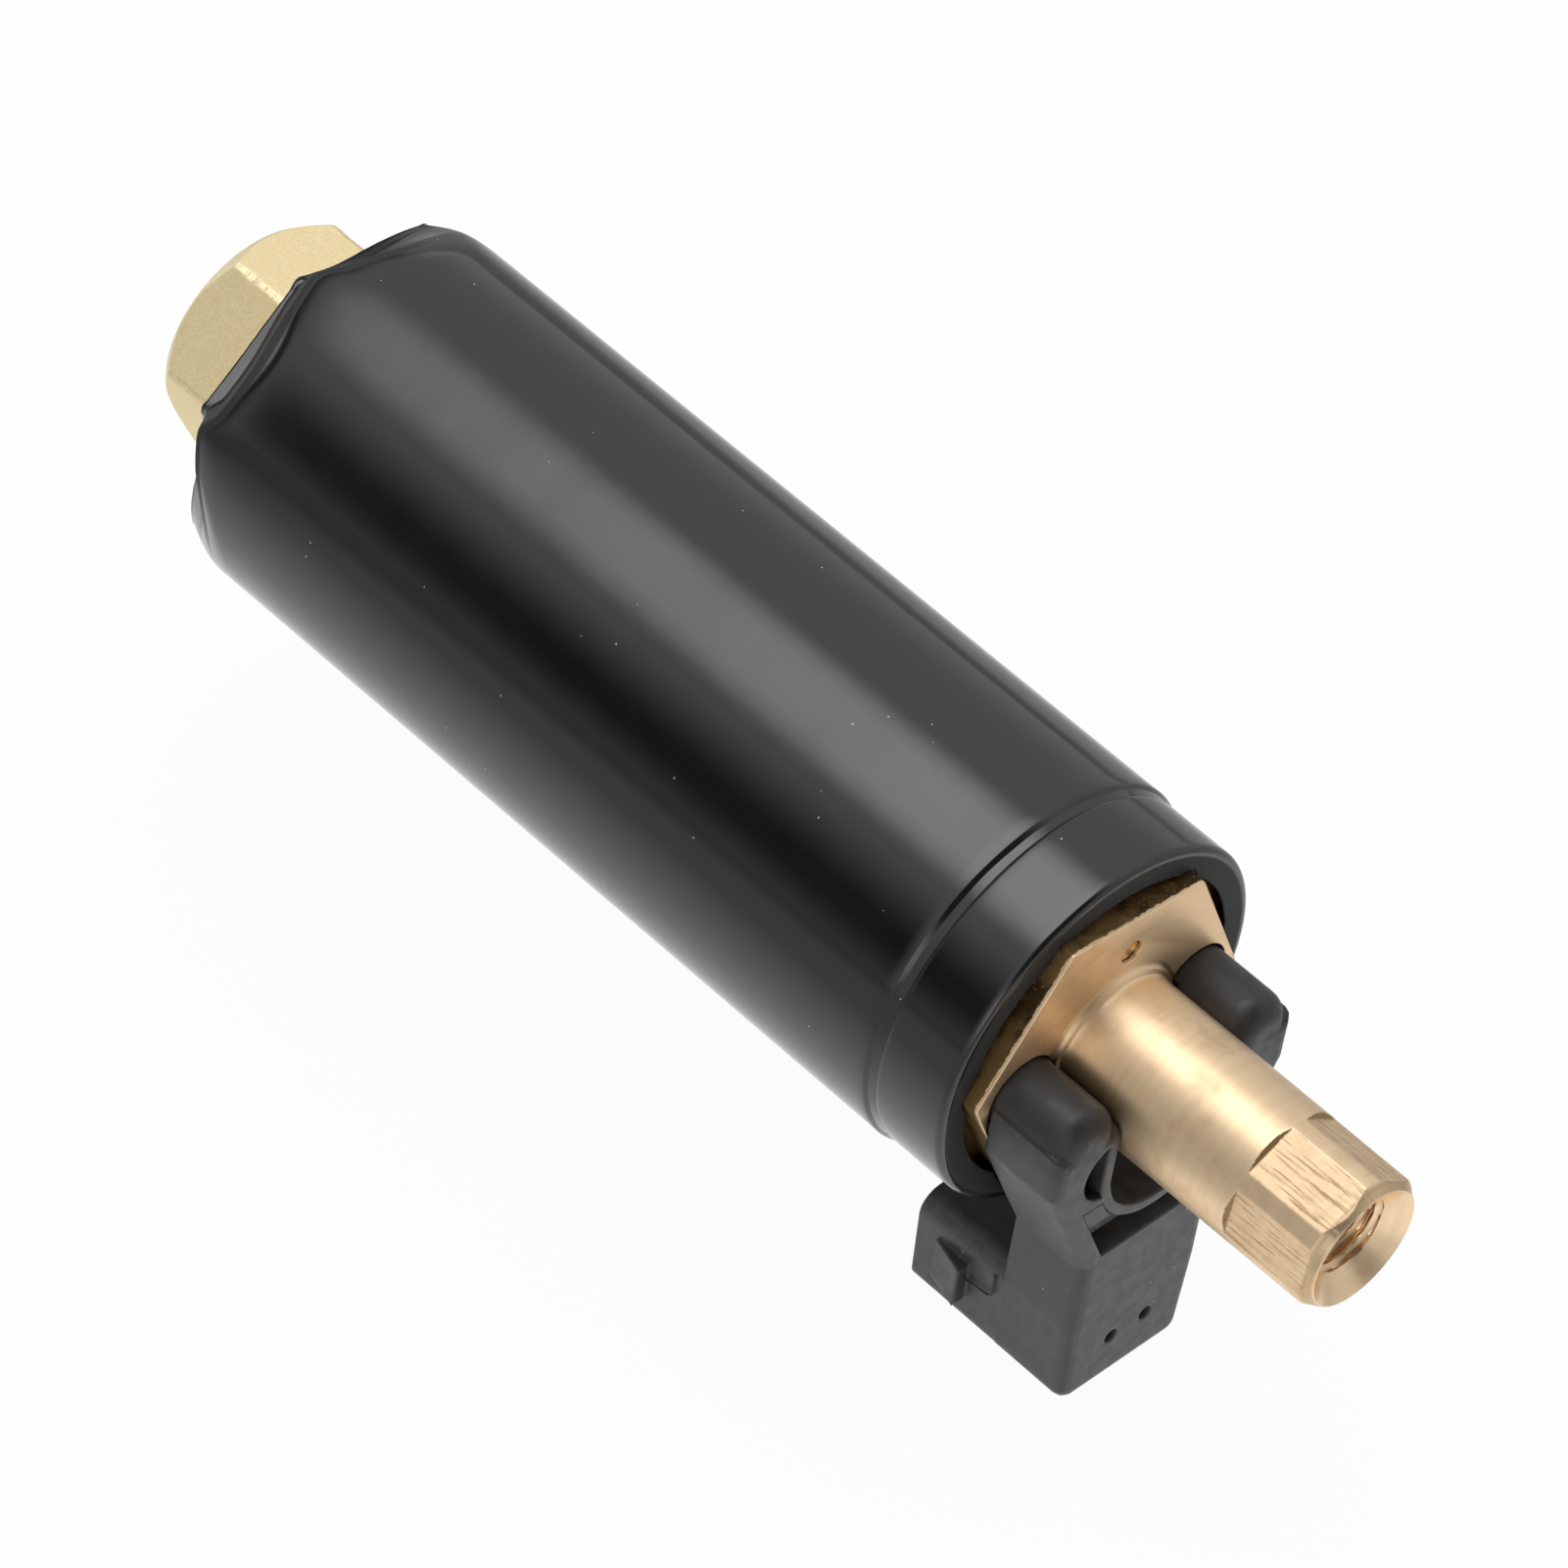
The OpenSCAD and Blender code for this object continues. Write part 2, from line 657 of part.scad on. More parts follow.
// Corners of the moulding in Y and Z with their radii: two arms that draw in to the body
body_half_line = [[[-arm_half, arm_top], 0], [[-arm_half, -knee_drop], knee_round],
    [[-waist_half, -waist_drop], 0], [[-ridge_half, -ridge_drop], 0],
    [[-foot_half, -socket_drop], foot_round]];
body_line = concat(body_half_line,
    [for (i = [len(body_half_line) - 1 : -1 : 0])
        [[-body_half_line[i][0][0], body_half_line[i][0][1]], body_half_line[i][1]]]);

// The outline drawn in by d, with as many points at any d
function drawn_in(list, d, n = 5) =
    let(m = len(list))
    [for (i = [0 : m - 1])
        let(p0 = list[(i + m - 1) % m][0], p1 = list[i][0], p2 = list[(i + 1) % m][0],
            p = mitre(p0, p1, p2, d))
        each list[i][1] <= 0 ? [p] : corner(p + p0 - p1, p, p + p2 - p1, list[i][1] - d, n)];

// Body of the moulding from x0 to x1, its front edges rounded with radius r and its ends cut flat
module rounded_body(x0, x1, r) {
    steps = 3;
    turns = [for (k = [0 : steps]) 90 * k / steps];
    ins = concat([0], [for (t = turns) r * (1 - cos(t))], [r]);
    xs = concat([x0 - 1], [for (t = turns) x1 - r + r * sin(t)], [x1 + 1]);
    last = len(xs) - 1;
    points = [for (k = [0 : last]) for (p = drawn_in(body_line, ins[k])) [xs[k], p[0], p[1]]];
    n = len(points) / (last + 1);
    sides = [for (k = [0 : last - 1], j = [0 : n - 1])
        let(a = k * n + j, b = k * n + (j + 1) % n)
        each [[a, b + n, b], [a, a + n, b + n]]];
    back = [[for (j = [0 : n - 1]) j]];
    front = [[for (j = [0 : n - 1]) last * n + n - 1 - j]];
    intersection() {
        polyhedron(points = points, faces = concat(sides, back, front));
        translate([x0, -40, -80]) cube([x1 - x0, 80, 100]);
    }
}

// Space for the neck: straight walls over a half circle
module u_shape(r) {
    translate([0, -saddle_drop]) circle(r = r);
    translate([-r, -saddle_drop]) square([2 * r, saddle_drop + 20]);
}

// Socket body in Y and Z, a little narrower at the bottom
module socket_outline(inset) {
    half = socket_w / 2 - inset;
    low = -socket_drop + inset;
    high = -socket_drop + socket_h - inset;
    r = max(socket_round - inset, 0.8);
    foot = foot_half - inset;
    foot_r = max(foot_round - inset, 0.6);
    polygon(rounded([[[-half, high], r], [[half, high], r], [[foot, low], foot_r],
        [[-foot, low], foot_r]]));
}

// Route of a terminal strip inside the moulding, on the -Y side
strip_route = [[-boot_y, 0], [-boot_y, -9], [-6.6, -25], [-blade_pitch / 2, -30]];

module strip_outline(grow) {
    h = blade_w / 2 + grow;
    route = concat(strip_route, [[-blade_pitch / 2, blade_z - h]]);
    n = len(route);
    before = concat([2 * route[0] - route[1]], route);
    after = concat(route, [2 * route[n - 1] - route[n - 2]]);
    polygon(concat(
        [for (i = [0 : n - 1]) mitre(before[i], route[i], after[i + 1], h)],
        [for (i = [n - 1 : -1 : 0]) mitre(before[i], route[i], after[i + 1], -h)]));
    translate(strip_route[0]) circle(r = sleeve_r + 0.3 + grow, $fn = 48);
}

// One terminal: an eye round the stud, a strip down the arm and a blade in the socket
module terminal(grow) {
    x_tip = x_socket + socket_deep - blade_l;
    difference() {
        union() {
            prism_x(x_strip - grow, x_strip + blade_t + grow) strip_outline(grow);
            translate([x_tip, -blade_pitch / 2 - blade_t / 2 - grow,
                    blade_z - blade_w / 2 - grow])
                cube([x_strip + blade_t - x_tip, blade_t + 2 * grow, blade_w + 2 * grow]);
        }
        if (grow == 0)
            translate([0, -boot_y, 0]) rod_x(x_strip - 1, x_strip + 2, stud_r + seat_gap);
    }
}

module blade_negative() {
    color([0.78, 0.76, 0.70]) terminal(0);
}

module blade_positive() {
    color([0.78, 0.76, 0.70]) mirror([0, 1, 0]) terminal(0);
}

// Channel in the front face that takes the lid, drawn in like the arms
module channel_outline(gap) {
    slope = (arm_half - waist_half) / (waist_drop - knee_drop);
    half = slot_half - gap;
    flare = slope * (lid_top - slot_z);
    difference() {
        polygon([[-half, slot_z], [half, slot_z], [half + flare, lid_top - gap],
            [-half - flare, lid_top - gap]]);
        u_shape(u_out + gap);
    }
}

// The two boots, rounded at the front
module boots() {
    for (side = [-1, 1])
        translate([0, side * boot_y, 0])
            turned(concat([[x_boot, 0], [x_boot, boot_r]],
                arc([x_front - boot_round, boot_r - boot_round], boot_round, 90, 0),
                [[x_front, 0]]));
}

// Wedge that the plug's clip snaps over, on one side of the socket
module clip_lug() {
    translate([x_socket + lug_back, socket_w / 2 - 0.6, blade_z - lug_w / 2])
        linear_extrude(lug_w)
            polygon([[0, 0], [0, 0.7], [lug_l, lug_high + 0.6], [lug_l, 0]]);
}

module connector_housing() {
    color([0.17, 0.17, 0.18])
        difference() {
            union() {
                boots();
                rounded_body(x_arm, x_front, edge_r);
                prism_x(x_socket, x_arm + 1) socket_outline(0.05);
                clip_lug();
                mirror([0, 1, 0]) clip_lug();
            }
            prism_x(x_boot - 1, x_front + 1) u_shape(u_in);
            prism_x(x_boot - 1, x_flange + bead_l + saddle_gap) u_shape(bead_d / 2 + saddle_gap);
            for (side = [-1, 1])
                translate([0, side * boot_y, 0]) {
                    rod_x(x_boot - 1, x_flange + 0.6, nut_af / 2 / cos(30) + 0.25);
                    rod_x(x_boot, x_strip + blade_t + stud_out + 0.2, stud_r + 0.2);
                }
            pockets();
            prism_x(x_front - channel_deep, x_front + 1) channel_outline(0);
            prism_x(x_front - slot_deep, x_front + 1)
                translate([-slot_half, slot_z]) square([2 * slot_half, slot_h]);
            prism_x(x_socket - 1, x_socket + socket_deep) socket_outline(socket_wall);
            terminal(seat_gap);
            mirror([0, 1, 0]) terminal(seat_gap);
            for (side = [-1, 1])
                translate([0, side * blade_pitch / 2, blade_z])
                    rod_x(x_front - 4, x_front + 1, core_hole_d / 2);
        }
}

// Pockets beside the inner walls, open to the front
module pockets() {
    for (side = [-1, 1])
        prism_x(x_front - pocket_deep, x_front + 1)
            difference() {
                translate([side * u_in, -saddle_drop + 1.6]) circle(r = pocket_r);
                u_shape(u_out);
            }
}

// Small lid under the saddle with a scooped front
module terminal_cover() {
    color([0.20, 0.20, 0.21])
        difference() {
            prism_x(x_front - channel_deep + seat_gap, x_front) channel_outline(lid_gap);
            translate([x_front - channel_deep - 1, -arm_half, slot_z - slot_h])
                cube([channel_deep + 2, 2 * arm_half, 2 * slot_h]);
            translate([x_front + scoop_r - scoop_deep, arm_half, slot_z + slot_h - lid_lip])
                rotate([90, 0, 0]) cylinder(r = scoop_r, h = 2 * arm_half);
        }
}

// Threaded post through the outlet cap, its head inside
module stud(side) {
    color([0.72, 0.70, 0.60])
        translate([0, side * boot_y, 0]) {
            rod_x(x_cap_in - sleeve_lip - stud_head_t, x_cap_in - sleeve_lip, sleeve_r);
            rod_x(x_cap_in - sleeve_lip - 0.1, x_strip + blade_t + stud_out, stud_r);
        }
}

module stud_negative() { stud(-1); }

module stud_positive() { stud(1); }

// Insulating sleeves with a lip on each side of the cap
module stud_insulators() {
    color([0.86, 0.84, 0.76])
        for (side = [-1, 1])
            translate([0, side * boot_y, 0])
                difference() {
                    union() {
                        rod_x(x_cap_in - sleeve_lip, x_boot_floor + sleeve_lip, sleeve_r);
                        rod_x(x_cap_in - sleeve_lip, x_cap_in, sleeve_r + sleeve_flange);
                        rod_x(x_boot_floor, x_boot_floor + sleeve_lip, sleeve_r + sleeve_flange);
                    }
                    rod_x(x_cap_in - 2, x_boot_floor + 2, stud_r + seat_gap);
                }
}

module stud_nuts() {
    x_nut = x_boot_floor + sleeve_lip;
    color([0.75, 0.74, 0.70])
        for (side = [-1, 1])
            translate([0, side * boot_y, 0])
                difference() {
                    hex_x(x_nut, x_nut + nut_t, nut_af, 0);
                    rod_x(x_nut - 1, x_nut + nut_t + 1, stud_r + seat_gap);
                }
}

// A wedge in Y and Z from angle a0 to a1
module sector(a0, a1) {
    big = 40;
    polygon([[0, 0], for (i = [0 : 4]) let(a = a0 + (a1 - a0) * i / 4) big * [cos(a), sin(a)]]);
}

module magnet(middle) {
    color([0.25, 0.25, 0.27])
        intersection() {
            tube_x(x_magnet, x_magnet + magnet_l, magnet_or, magnet_ir);
            prism_x(x_magnet - 1, x_magnet + magnet_l + 1)
                sector(middle - magnet_arc / 2, middle + magnet_arc / 2);
        }
}

module magnet_upper() { magnet(90); }

module magnet_lower() { magnet(270); }

// Two bent spring strips that spread the magnets apart
module magnet_clips() {
    half = (180 - magnet_arc) / 2;
    leg = magnet_or - magnet_ir - 2;
    color([0.60, 0.62, 0.66])
        for (turn = [0, 180])
            rotate([turn, 0, 0]) {
                intersection() {
                    tube_x(x_magnet + 4, x_magnet + magnet_l - 4, magnet_or, magnet_or - clip_t);
                    prism_x(x_magnet, x_magnet + magnet_l) sector(-half + 1.4, half - 1.4);
                }
                for (s = [-1, 1])
                    rotate([s * half, 0, 0])
                        translate([x_magnet + 4.5, magnet_or - leg, -s * 0.3 - (s + 1) * clip_t / 2])
                            cube([magnet_l - 9, leg - 0.4, clip_t]);
            }
}

// End plate that carries the outlet bush and the two brushes
module brush_holder() {
    x_plate = x_cap_in - holder_t;
    side = brush_w + 2 * tube_wall;
    color([0.30, 0.24, 0.18])
        difference() {
            union() {
                rod_x(x_plate, x_cap_in - 0.02, plate_r);
                rod_x(x_plate - bush_l + 2, x_plate + 1, bush_r + 1.6);
                for (s = [-1, 1])
                    translate([x_plate - tube_l, -side / 2, s * brush_at - side / 2])
                        cube([tube_l + 1, side, side]);
            }
            for (s = [-1, 1])
                translate([x_plate - tube_l - 1, -hole_half, s * brush_at - hole_half])
                    cube([x_spring_seat - x_plate + tube_l + 1, 2 * hole_half, 2 * hole_half]);
            rod_x(x_plate - tube_l - 1, x_cap_in + 1, shaft_r + 0.4);
            rod_x(x_plate - tube_l - 1, x_plate + 2, bush_r + seat_gap);
            for (s = [-1, 1])
                translate([0, s * boot_y, 0]) rod_x(x_plate - 1, x_cap_in + 1, sleeve_r + 1.2);
            for (a = [45 : 90 : 315])
                rotate([a, 0, 0]) {
                    translate([0, flow_at, 0]) rod_x(x_plate - 1, x_cap_in + 1, flow_r);
                    translate([x_cap_in - flow_deep, 0, -flow_r])
                        cube([2 * flow_deep, flow_at, 2 * flow_r]);
                }
        }
}

module brush(s) {
    color([0.28, 0.26, 0.25])
        translate([x_brush, -brush_w / 2, s * brush_at - brush_w / 2])
            cube([brush_l, brush_w, brush_w]);
}

module brush_positive() { brush(1); }

module brush_negative() { brush(-1); }

brush_wire = 0.3;
brush_curls = 5;

module brush_spring(s) {
    color([0.75, 0.75, 0.78])
        translate([0, 0, s * brush_at])
            coil(x_brush_back + 0.02, brush_spring_l - 0.04, brush_w / 2 - 0.7, brush_curls,
                brush_wire);
}

module brush_spring_positive() { brush_spring(1); }

module brush_spring_negative() { brush_spring(-1); }

module shaft() {
    color([0.72, 0.73, 0.75])
        difference() {
            rod_x(x_shaft, x_cap_in - 1.5, shaft_r);
            translate([x_shaft - 1, -10, flat_z]) cube([x_cavity_end - x_shaft + 1, 20, 10]);
        }
}

// Slot of the armature, with its narrow mouth
module slot_outline(grow) {
    translate([slot_low - grow, -slot_w / 2 - grow])
        square([slot_high - slot_low + 2 * grow, slot_w + 2 * grow]);
    if (grow > 0) translate([slot_high - 1, -1]) square([5, 2]);
}

module armature_stack() {
    color([0.40, 0.40, 0.42])
        prism_x(x_armature, x_armature + armature_l)
            difference() {
                circle(r = armature_r);
                circle(r = shaft_r + seat_gap);
                for (i = [0 : slot_n - 1]) rotate(360 * i / slot_n) slot_outline(0.15);
            }
}

// Copper: rounded end turns joined by the bundles that lie in the slots
module windings() {
    low = shaft_r + 1.2;
    high = slot_high + 0.6;
    end = overhang - 0.8;
    x_far = x_armature + armature_l;
    color([0.72, 0.40, 0.22]) {
        turned(concat([[x_armature - 0.1, low], [x_armature - end, low]],
            arc([x_armature - end + 2, high - 2], 2, 180, 90), [[x_armature - 0.1, high]]));
        turned(concat([[x_far + 0.1, high]], arc([x_far + end - 2, high - 2], 2, 90, 0),
            [[x_far + end, low], [x_far + 0.1, low]]));
        prism_x(x_armature - 0.5, x_far + 0.5)
            for (i = [0 : slot_n - 1]) rotate(360 * i / slot_n) slot_outline(0);
        tube_x(x_far + 0.2, x_commutator - commutator_t - 0.1, low + 1.4, low);
    }
}

// Flat commutator, its face parted into segments
module commutator() {
    color([0.72, 0.45, 0.28])
        difference() {
            rod_x(x_commutator - commutator_t, x_commutator, commutator_d / 2);
            rod_x(x_commutator - 10, x_commutator + 1, shaft_r + seat_gap);
            for (i = [0 : slot_n - 1])
                rotate([360 * (i + 0.5) / slot_n, 0, 0])
                    translate([x_commutator - 1.5, shaft_r + 1, -0.25]) cube([3, 20, 0.5]);
            rod_x(x_commutator - 1.5, x_commutator + 1, shaft_r + 1.2);
        }
}

module outlet_bush() {
    x_plate = x_cap_in - holder_t;
    color([0.66, 0.50, 0.32])
        tube_x(x_plate - bush_l + 2, x_plate + 1.98, bush_r, shaft_r + run_gap);
}

module inlet_bush() {
    color([0.66, 0.50, 0.32])
        tube_x(x_cavity_end + 1, x_cavity_end + 1 + bush_l, bush_r, shaft_r + run_gap);
}

module thrust_ball() {
    color([0.75, 0.75, 0.78]) translate([x_ball, 0, 0]) sphere(r = ball_r);
}

// Shaft hole of the impeller: round with one flat
module drive_hole() {
    difference() {
        rod_x(x_cavity - 1, x_cavity_end + 1, shaft_r + seat_gap);
        translate([x_cavity - 2, -10, flat_z + seat_gap]) cube([cavity_t + 4, 20, 10]);
    }
}

// Outline of one row of vanes round the hub
module vane_outline() {
    step = 360 / vane_n;
    low = impeller_r - vane_h;
    polygon([for (i = [0 : vane_n - 1]) each [
        low * [cos(i * step - step * 0.32), sin(i * step - step * 0.32)],
        impeller_r * [cos(i * step - step * 0.14), sin(i * step - step * 0.14)],
        impeller_r * [cos(i * step + step * 0.14), sin(i * step + step * 0.14)],
        low * [cos(i * step + step * 0.18), sin(i * step + step * 0.18)]]]);
}

// Impeller: two rows of vanes with a thin web between them
module impeller() {
    x0 = x_cavity + face_gap;
    web = 0.8;
    side = (impeller_t - web) / 2;
    color([0.16, 0.16, 0.16])
        difference() {
            union() {
                prism_x(x0, x0 + side) vane_outline();
                rod_x(x0 + side, x0 + side + web, impeller_r - 0.4);
                prism_x(x0 + side + web, x0 + impeller_t)
                    rotate(180 / vane_n) vane_outline();
            }
            drive_hole();
            for (a = [0 : 120 : 240])
                rotate([a + 30, 0, 0]) translate([0, balance_at, 0])
                    rod_x(x0 - 1, x0 + impeller_t + 1, balance_r);
        }
}

// Side channel in a plate, broken by the stripper between the ports
module side_channel(x0, x1) {
    difference() {
        tube_x(x0, x1, channel_r + channel_w / 2, channel_r - channel_w / 2);
        prism_x(x0 - 1, x1 + 1) sector(stripper_start, stripper_end);
    }
}

module relief_way(x0, x1, r) {
    translate([0, 0, port_at]) rod_x(x0, x1, r);
}

module pump_cover_plate() {
    color([0.70, 0.71, 0.73])
        difference() {
            rod_x(x_cover + 0.02, x_cavity, plate_r);
            side_channel(x_cavity - channel_h, x_cavity + 1);
            rod_x(x_ball - ball_r - 0.02, x_cavity + 1, ball_r + 0.1);
            rod_x(x_ball + ball_r - 0.4, x_cavity + 1, shaft_r + 0.3);
            // feed from the inlet to the port and the relief valve
            translate([x_cover - 1, -4, 0]) cube([1 + feed_deep, 8, port_at + 1.6]);
            rotate([90, 0, 0]) translate([0, channel_r, 0])
                rod_x(x_cover, x_cavity, port_r);
            relief_way(x_cover, x_cavity + 1, relief_hole);
            relief_way(x_relief_stop, x_cavity + 1, relief_bore);
            pump_screw_holes();
        }
}

module pump_screw_holes() {
    for (a = screw_turns)
        rotate([a, 0, 0]) translate([0, port_at, 0]) {
            rod_x(x_cavity - screw_deep - 0.2, x_body_out + 1, screw_r + seat_gap);
            rod_x(x_body_out - screw_head_l, x_body_out + 1, screw_head_r + 0.15);
        }
}

module pump_body_plate() {
    color([0.70, 0.71, 0.73])
        difference() {
            union() {
                rod_x(x_cavity + 0.02, x_body_out, plate_r);
                rod_x(x_body_out - 1, x_cavity_end + bush_l + 1, bush_r + 1.8);
            }
            rod_x(x_cavity - 1, x_cavity_end, impeller_r + 0.3);
            side_channel(x_cavity_end - 1, x_cavity_end + channel_h);
            rotate([out_port_turn, 0, 0]) translate([0, channel_r, 0])
                rod_x(x_cavity_end, x_body_out + 1, port_r);
            rod_x(x_cavity_end - 1, x_cavity_end + 2, shaft_r + 0.4);
            rod_x(x_cavity_end + 1 - 0.02, x_cavity_end + bush_l + 2, bush_r + seat_gap);
            relief_way(x_cavity - 1, x_body_out, relief_bore);
            relief_way(x_relief_seat, x_body_out + 1, relief_seat_r + seat_gap);
            pump_screw_holes();
        }
}

module pump_screws() {
    color([0.55, 0.56, 0.58])
        for (a = screw_turns)
            rotate([a, 0, 0]) translate([0, port_at, 0])
                difference() {
                    union() {
                        rod_x(x_cavity - screw_deep, x_body_out - 0.5, screw_r);
                        rod_x(x_body_out - screw_head_l + 0.02, x_body_out, screw_head_r);
                    }
                    hex_x(x_body_out - 1.4, x_body_out + 1, 2.5, 0);
                }
}

module check_seat() {
    color([0.70, 0.71, 0.73])
        difference() {
            rod_x(x_seat, x_seat + seat_l, chamber_r - 0.02);
            rod_x(x_seat - 1, x_seat + seat_l + 1, seat_bore / 2);
            turned([[x_seat + seat_l - 0.6, 0], [x_seat + seat_l - 0.6, seat_bore / 2],
                [x_seat + seat_l + 0.1, seat_bore / 2 + 0.7], [x_seat + seat_l + 0.1, 0]]);
        }
}

// Check valve: a shallow nose, a flat head and four fins that guide it in the chamber
module check_poppet() {
    fin = 1.3;
    reach = chamber_r - slide_gap;
    color([0.60, 0.62, 0.30])
        difference() {
            union() {
                turned([[x_poppet - 1.2, 0], [x_poppet - 1.2, seat_bore / 2 - 1],
                    [x_poppet, seat_bore / 2 - 0.35], [x_poppet, poppet_r],
                    [x_poppet + poppet_head, poppet_r],
                    [x_poppet + poppet_head, poppet_r - 0.4],
                    [x_check_spring, poppet_r - 0.4], [x_check_spring, 0]]);
                intersection() {
                    rod_x(x_poppet, x_check_spring, reach);
                    for (a = [0, 90])
                        rotate([a, 0, 0]) translate([x_poppet + 0.4, -reach, -fin / 2])
                            cube([x_check_spring - x_poppet - 0.4, 2 * reach, fin]);
                }
            }
            rod_x(x_poppet + poppet_head, x_check_spring + 1, 2.6);
        }
}

check_wire = 0.35;
check_curls = 5;
check_coil_r = 3.6;

module check_spring() {
    color([0.75, 0.75, 0.78])
        coil(x_check_spring + 0.02, check_spring_l - 0.04, check_coil_r, check_curls, check_wire);
}

module relief_seat() {
    color([0.70, 0.60, 0.40])
        translate([0, 0, port_at])
            tube_x(x_relief_seat, x_body_out, relief_seat_r, relief_hole);
}

module relief_ball() {
    color([0.75, 0.75, 0.78])
        translate([x_relief_ball, 0, port_at]) sphere(r = relief_r);
}

relief_wire = 0.25;
relief_curls = 5;

module relief_spring() {
    color([0.75, 0.75, 0.78])
        translate([0, 0, port_at])
            coil(x_relief_stop + 0.02, x_relief_ball - relief_r - x_relief_stop - 0.04,
                relief_r - 0.45, relief_curls, relief_wire);
}

film_sleeve();
can_shell();
outlet_cap();
inlet_cap();
outlet_o_ring();
inlet_o_ring();
connector_housing();
terminal_cover();
blade_positive();
blade_negative();
stud_positive();
stud_negative();
stud_insulators();
stud_nuts();
magnet_upper();
magnet_lower();
magnet_clips();
brush_holder();
brush_positive();
brush_negative();
brush_spring_positive();
brush_spring_negative();
shaft();
armature_stack();
windings();
commutator();
outlet_bush();
inlet_bush();
thrust_ball();
impeller();
pump_body_plate();
pump_cover_plate();
pump_screws();
inlet_strainer();
check_seat();
check_poppet();
check_spring();
relief_seat();
relief_ball();
relief_spring();
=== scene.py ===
# %% [markdown]
# In-line electric fuel pump, dressed for a photograph. The engineering model gives every piece
# at its real size, in metres, with X along the pump, Z up and the outlet towards +X.
# This notebook adds what the eye sees: the shrink film with its folds, the turned brass, the
# moulded socket, and the soft studio light that these glossy surfaces mirror.

# %% Load the frame
import json
import math

import bpy
import bmesh
import numpy as np
from mathutils import Matrix, Vector


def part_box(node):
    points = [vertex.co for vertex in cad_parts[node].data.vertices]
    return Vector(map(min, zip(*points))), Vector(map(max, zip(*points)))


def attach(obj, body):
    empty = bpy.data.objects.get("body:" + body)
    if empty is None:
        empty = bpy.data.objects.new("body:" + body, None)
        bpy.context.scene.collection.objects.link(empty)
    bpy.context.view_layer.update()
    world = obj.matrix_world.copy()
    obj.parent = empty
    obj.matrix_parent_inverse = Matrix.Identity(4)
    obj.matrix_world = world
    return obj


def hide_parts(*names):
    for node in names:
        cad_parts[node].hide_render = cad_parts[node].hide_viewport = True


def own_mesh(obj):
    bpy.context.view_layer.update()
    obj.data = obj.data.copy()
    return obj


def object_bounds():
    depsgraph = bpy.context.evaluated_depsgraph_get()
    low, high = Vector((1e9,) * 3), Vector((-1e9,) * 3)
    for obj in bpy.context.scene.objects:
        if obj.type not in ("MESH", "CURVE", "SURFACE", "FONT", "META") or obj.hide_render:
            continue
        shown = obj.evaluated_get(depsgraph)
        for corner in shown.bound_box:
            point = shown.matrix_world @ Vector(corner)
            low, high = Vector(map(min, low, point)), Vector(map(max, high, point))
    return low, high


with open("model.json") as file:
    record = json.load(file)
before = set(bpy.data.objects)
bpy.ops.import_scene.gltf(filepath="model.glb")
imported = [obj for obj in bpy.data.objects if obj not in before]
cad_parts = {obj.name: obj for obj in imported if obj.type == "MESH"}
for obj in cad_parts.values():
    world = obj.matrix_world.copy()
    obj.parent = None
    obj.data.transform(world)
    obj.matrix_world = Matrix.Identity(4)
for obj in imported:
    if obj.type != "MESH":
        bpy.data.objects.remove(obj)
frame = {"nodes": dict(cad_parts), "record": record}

cad_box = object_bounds()
nodes = frame["nodes"]
print("CAD pieces:", len(nodes))

# %% [markdown]
# The photograph was taken from above the outlet's left, with a long lens. The unit vectors below
# are the camera's right and backward directions, solved from the pump's own straight lines, and
# the lens follows from the same solution. A long lens keeps the can's sides nearly parallel, which
# is why a wide lens close by would not match.

# %% Camera
MM = 0.001


def add_object(name, data):
    """A new object that holds this mesh or camera, linked to the scene."""
    made = bpy.data.objects.new(name, data)
    bpy.context.scene.collection.objects.link(made)
    return made


camera_place = Vector((461.0, -547.5, 714.8)) * MM
camera_right = Vector((0.6878, 0.7164, 0.1171)).normalized()
camera_back = Vector((0.4447, -0.5433, 0.7120)).normalized()
camera_up = camera_back.cross(camera_right)

camera_data = bpy.data.cameras.new("camera")
camera_data.lens = 192.6
camera_data.sensor_width = 36.0
camera_data.clip_start = 0.05
camera_data.clip_end = 20.0
camera = add_object("camera", camera_data)
turn = Matrix((camera_right, camera_up, camera_back)).transposed()
camera.matrix_world = Matrix.Translation(camera_place) @ turn.to_4x4()
bpy.context.scene.camera = camera
bpy.context.scene.view_settings.view_transform = "Standard"
print("camera looks along", tuple(round(-c, 3) for c in camera_back))

# %% [markdown]
# Shader trees are easier to read when a node is one line. `put` adds a node, sets its options and
# fills its sockets, each with a plain value or with a link from another node. The few kinds of
# node that every finish uses get short names of their own.

# %% Shader helpers
def set_sockets(tree, made, sockets):
    for name, value in sockets.items():
        socket = made.inputs[name]
        if isinstance(value, bpy.types.NodeSocket):
            tree.links.new(value, socket)
        else:
            socket.default_value = value
    return made


def put(tree, kind, sockets=None, **options):
    made = tree.nodes.new("ShaderNode" + kind)
    for name, value in options.items():
        setattr(made, name, value)
    return set_sockets(tree, made, sockets or {})


def math_node(tree, operation, a, b=0.0, clamp=False):
    return put(tree, "Math", {0: a, 1: b}, operation=operation, use_clamp=clamp).outputs[0]


def times(tree, a, b):
    return math_node(tree, "MULTIPLY", a, b)


def plus(tree, a, b):
    return math_node(tree, "ADD", a, b)


def band(tree, value, low, high, start=0.0, end=1.0):
    """A smooth step: start below low, end above high."""
    made = put(tree, "MapRange", {"Value": value, "From Min": low, "From Max": high,
                                  "To Min": start, "To Max": end},
               interpolation_type="SMOOTHSTEP")
    return made.outputs["Result"]


def mix_values(tree, share, a, b):
    return put(tree, "Mix", {0: share, 2: a, 3: b}, data_type="FLOAT").outputs[0]


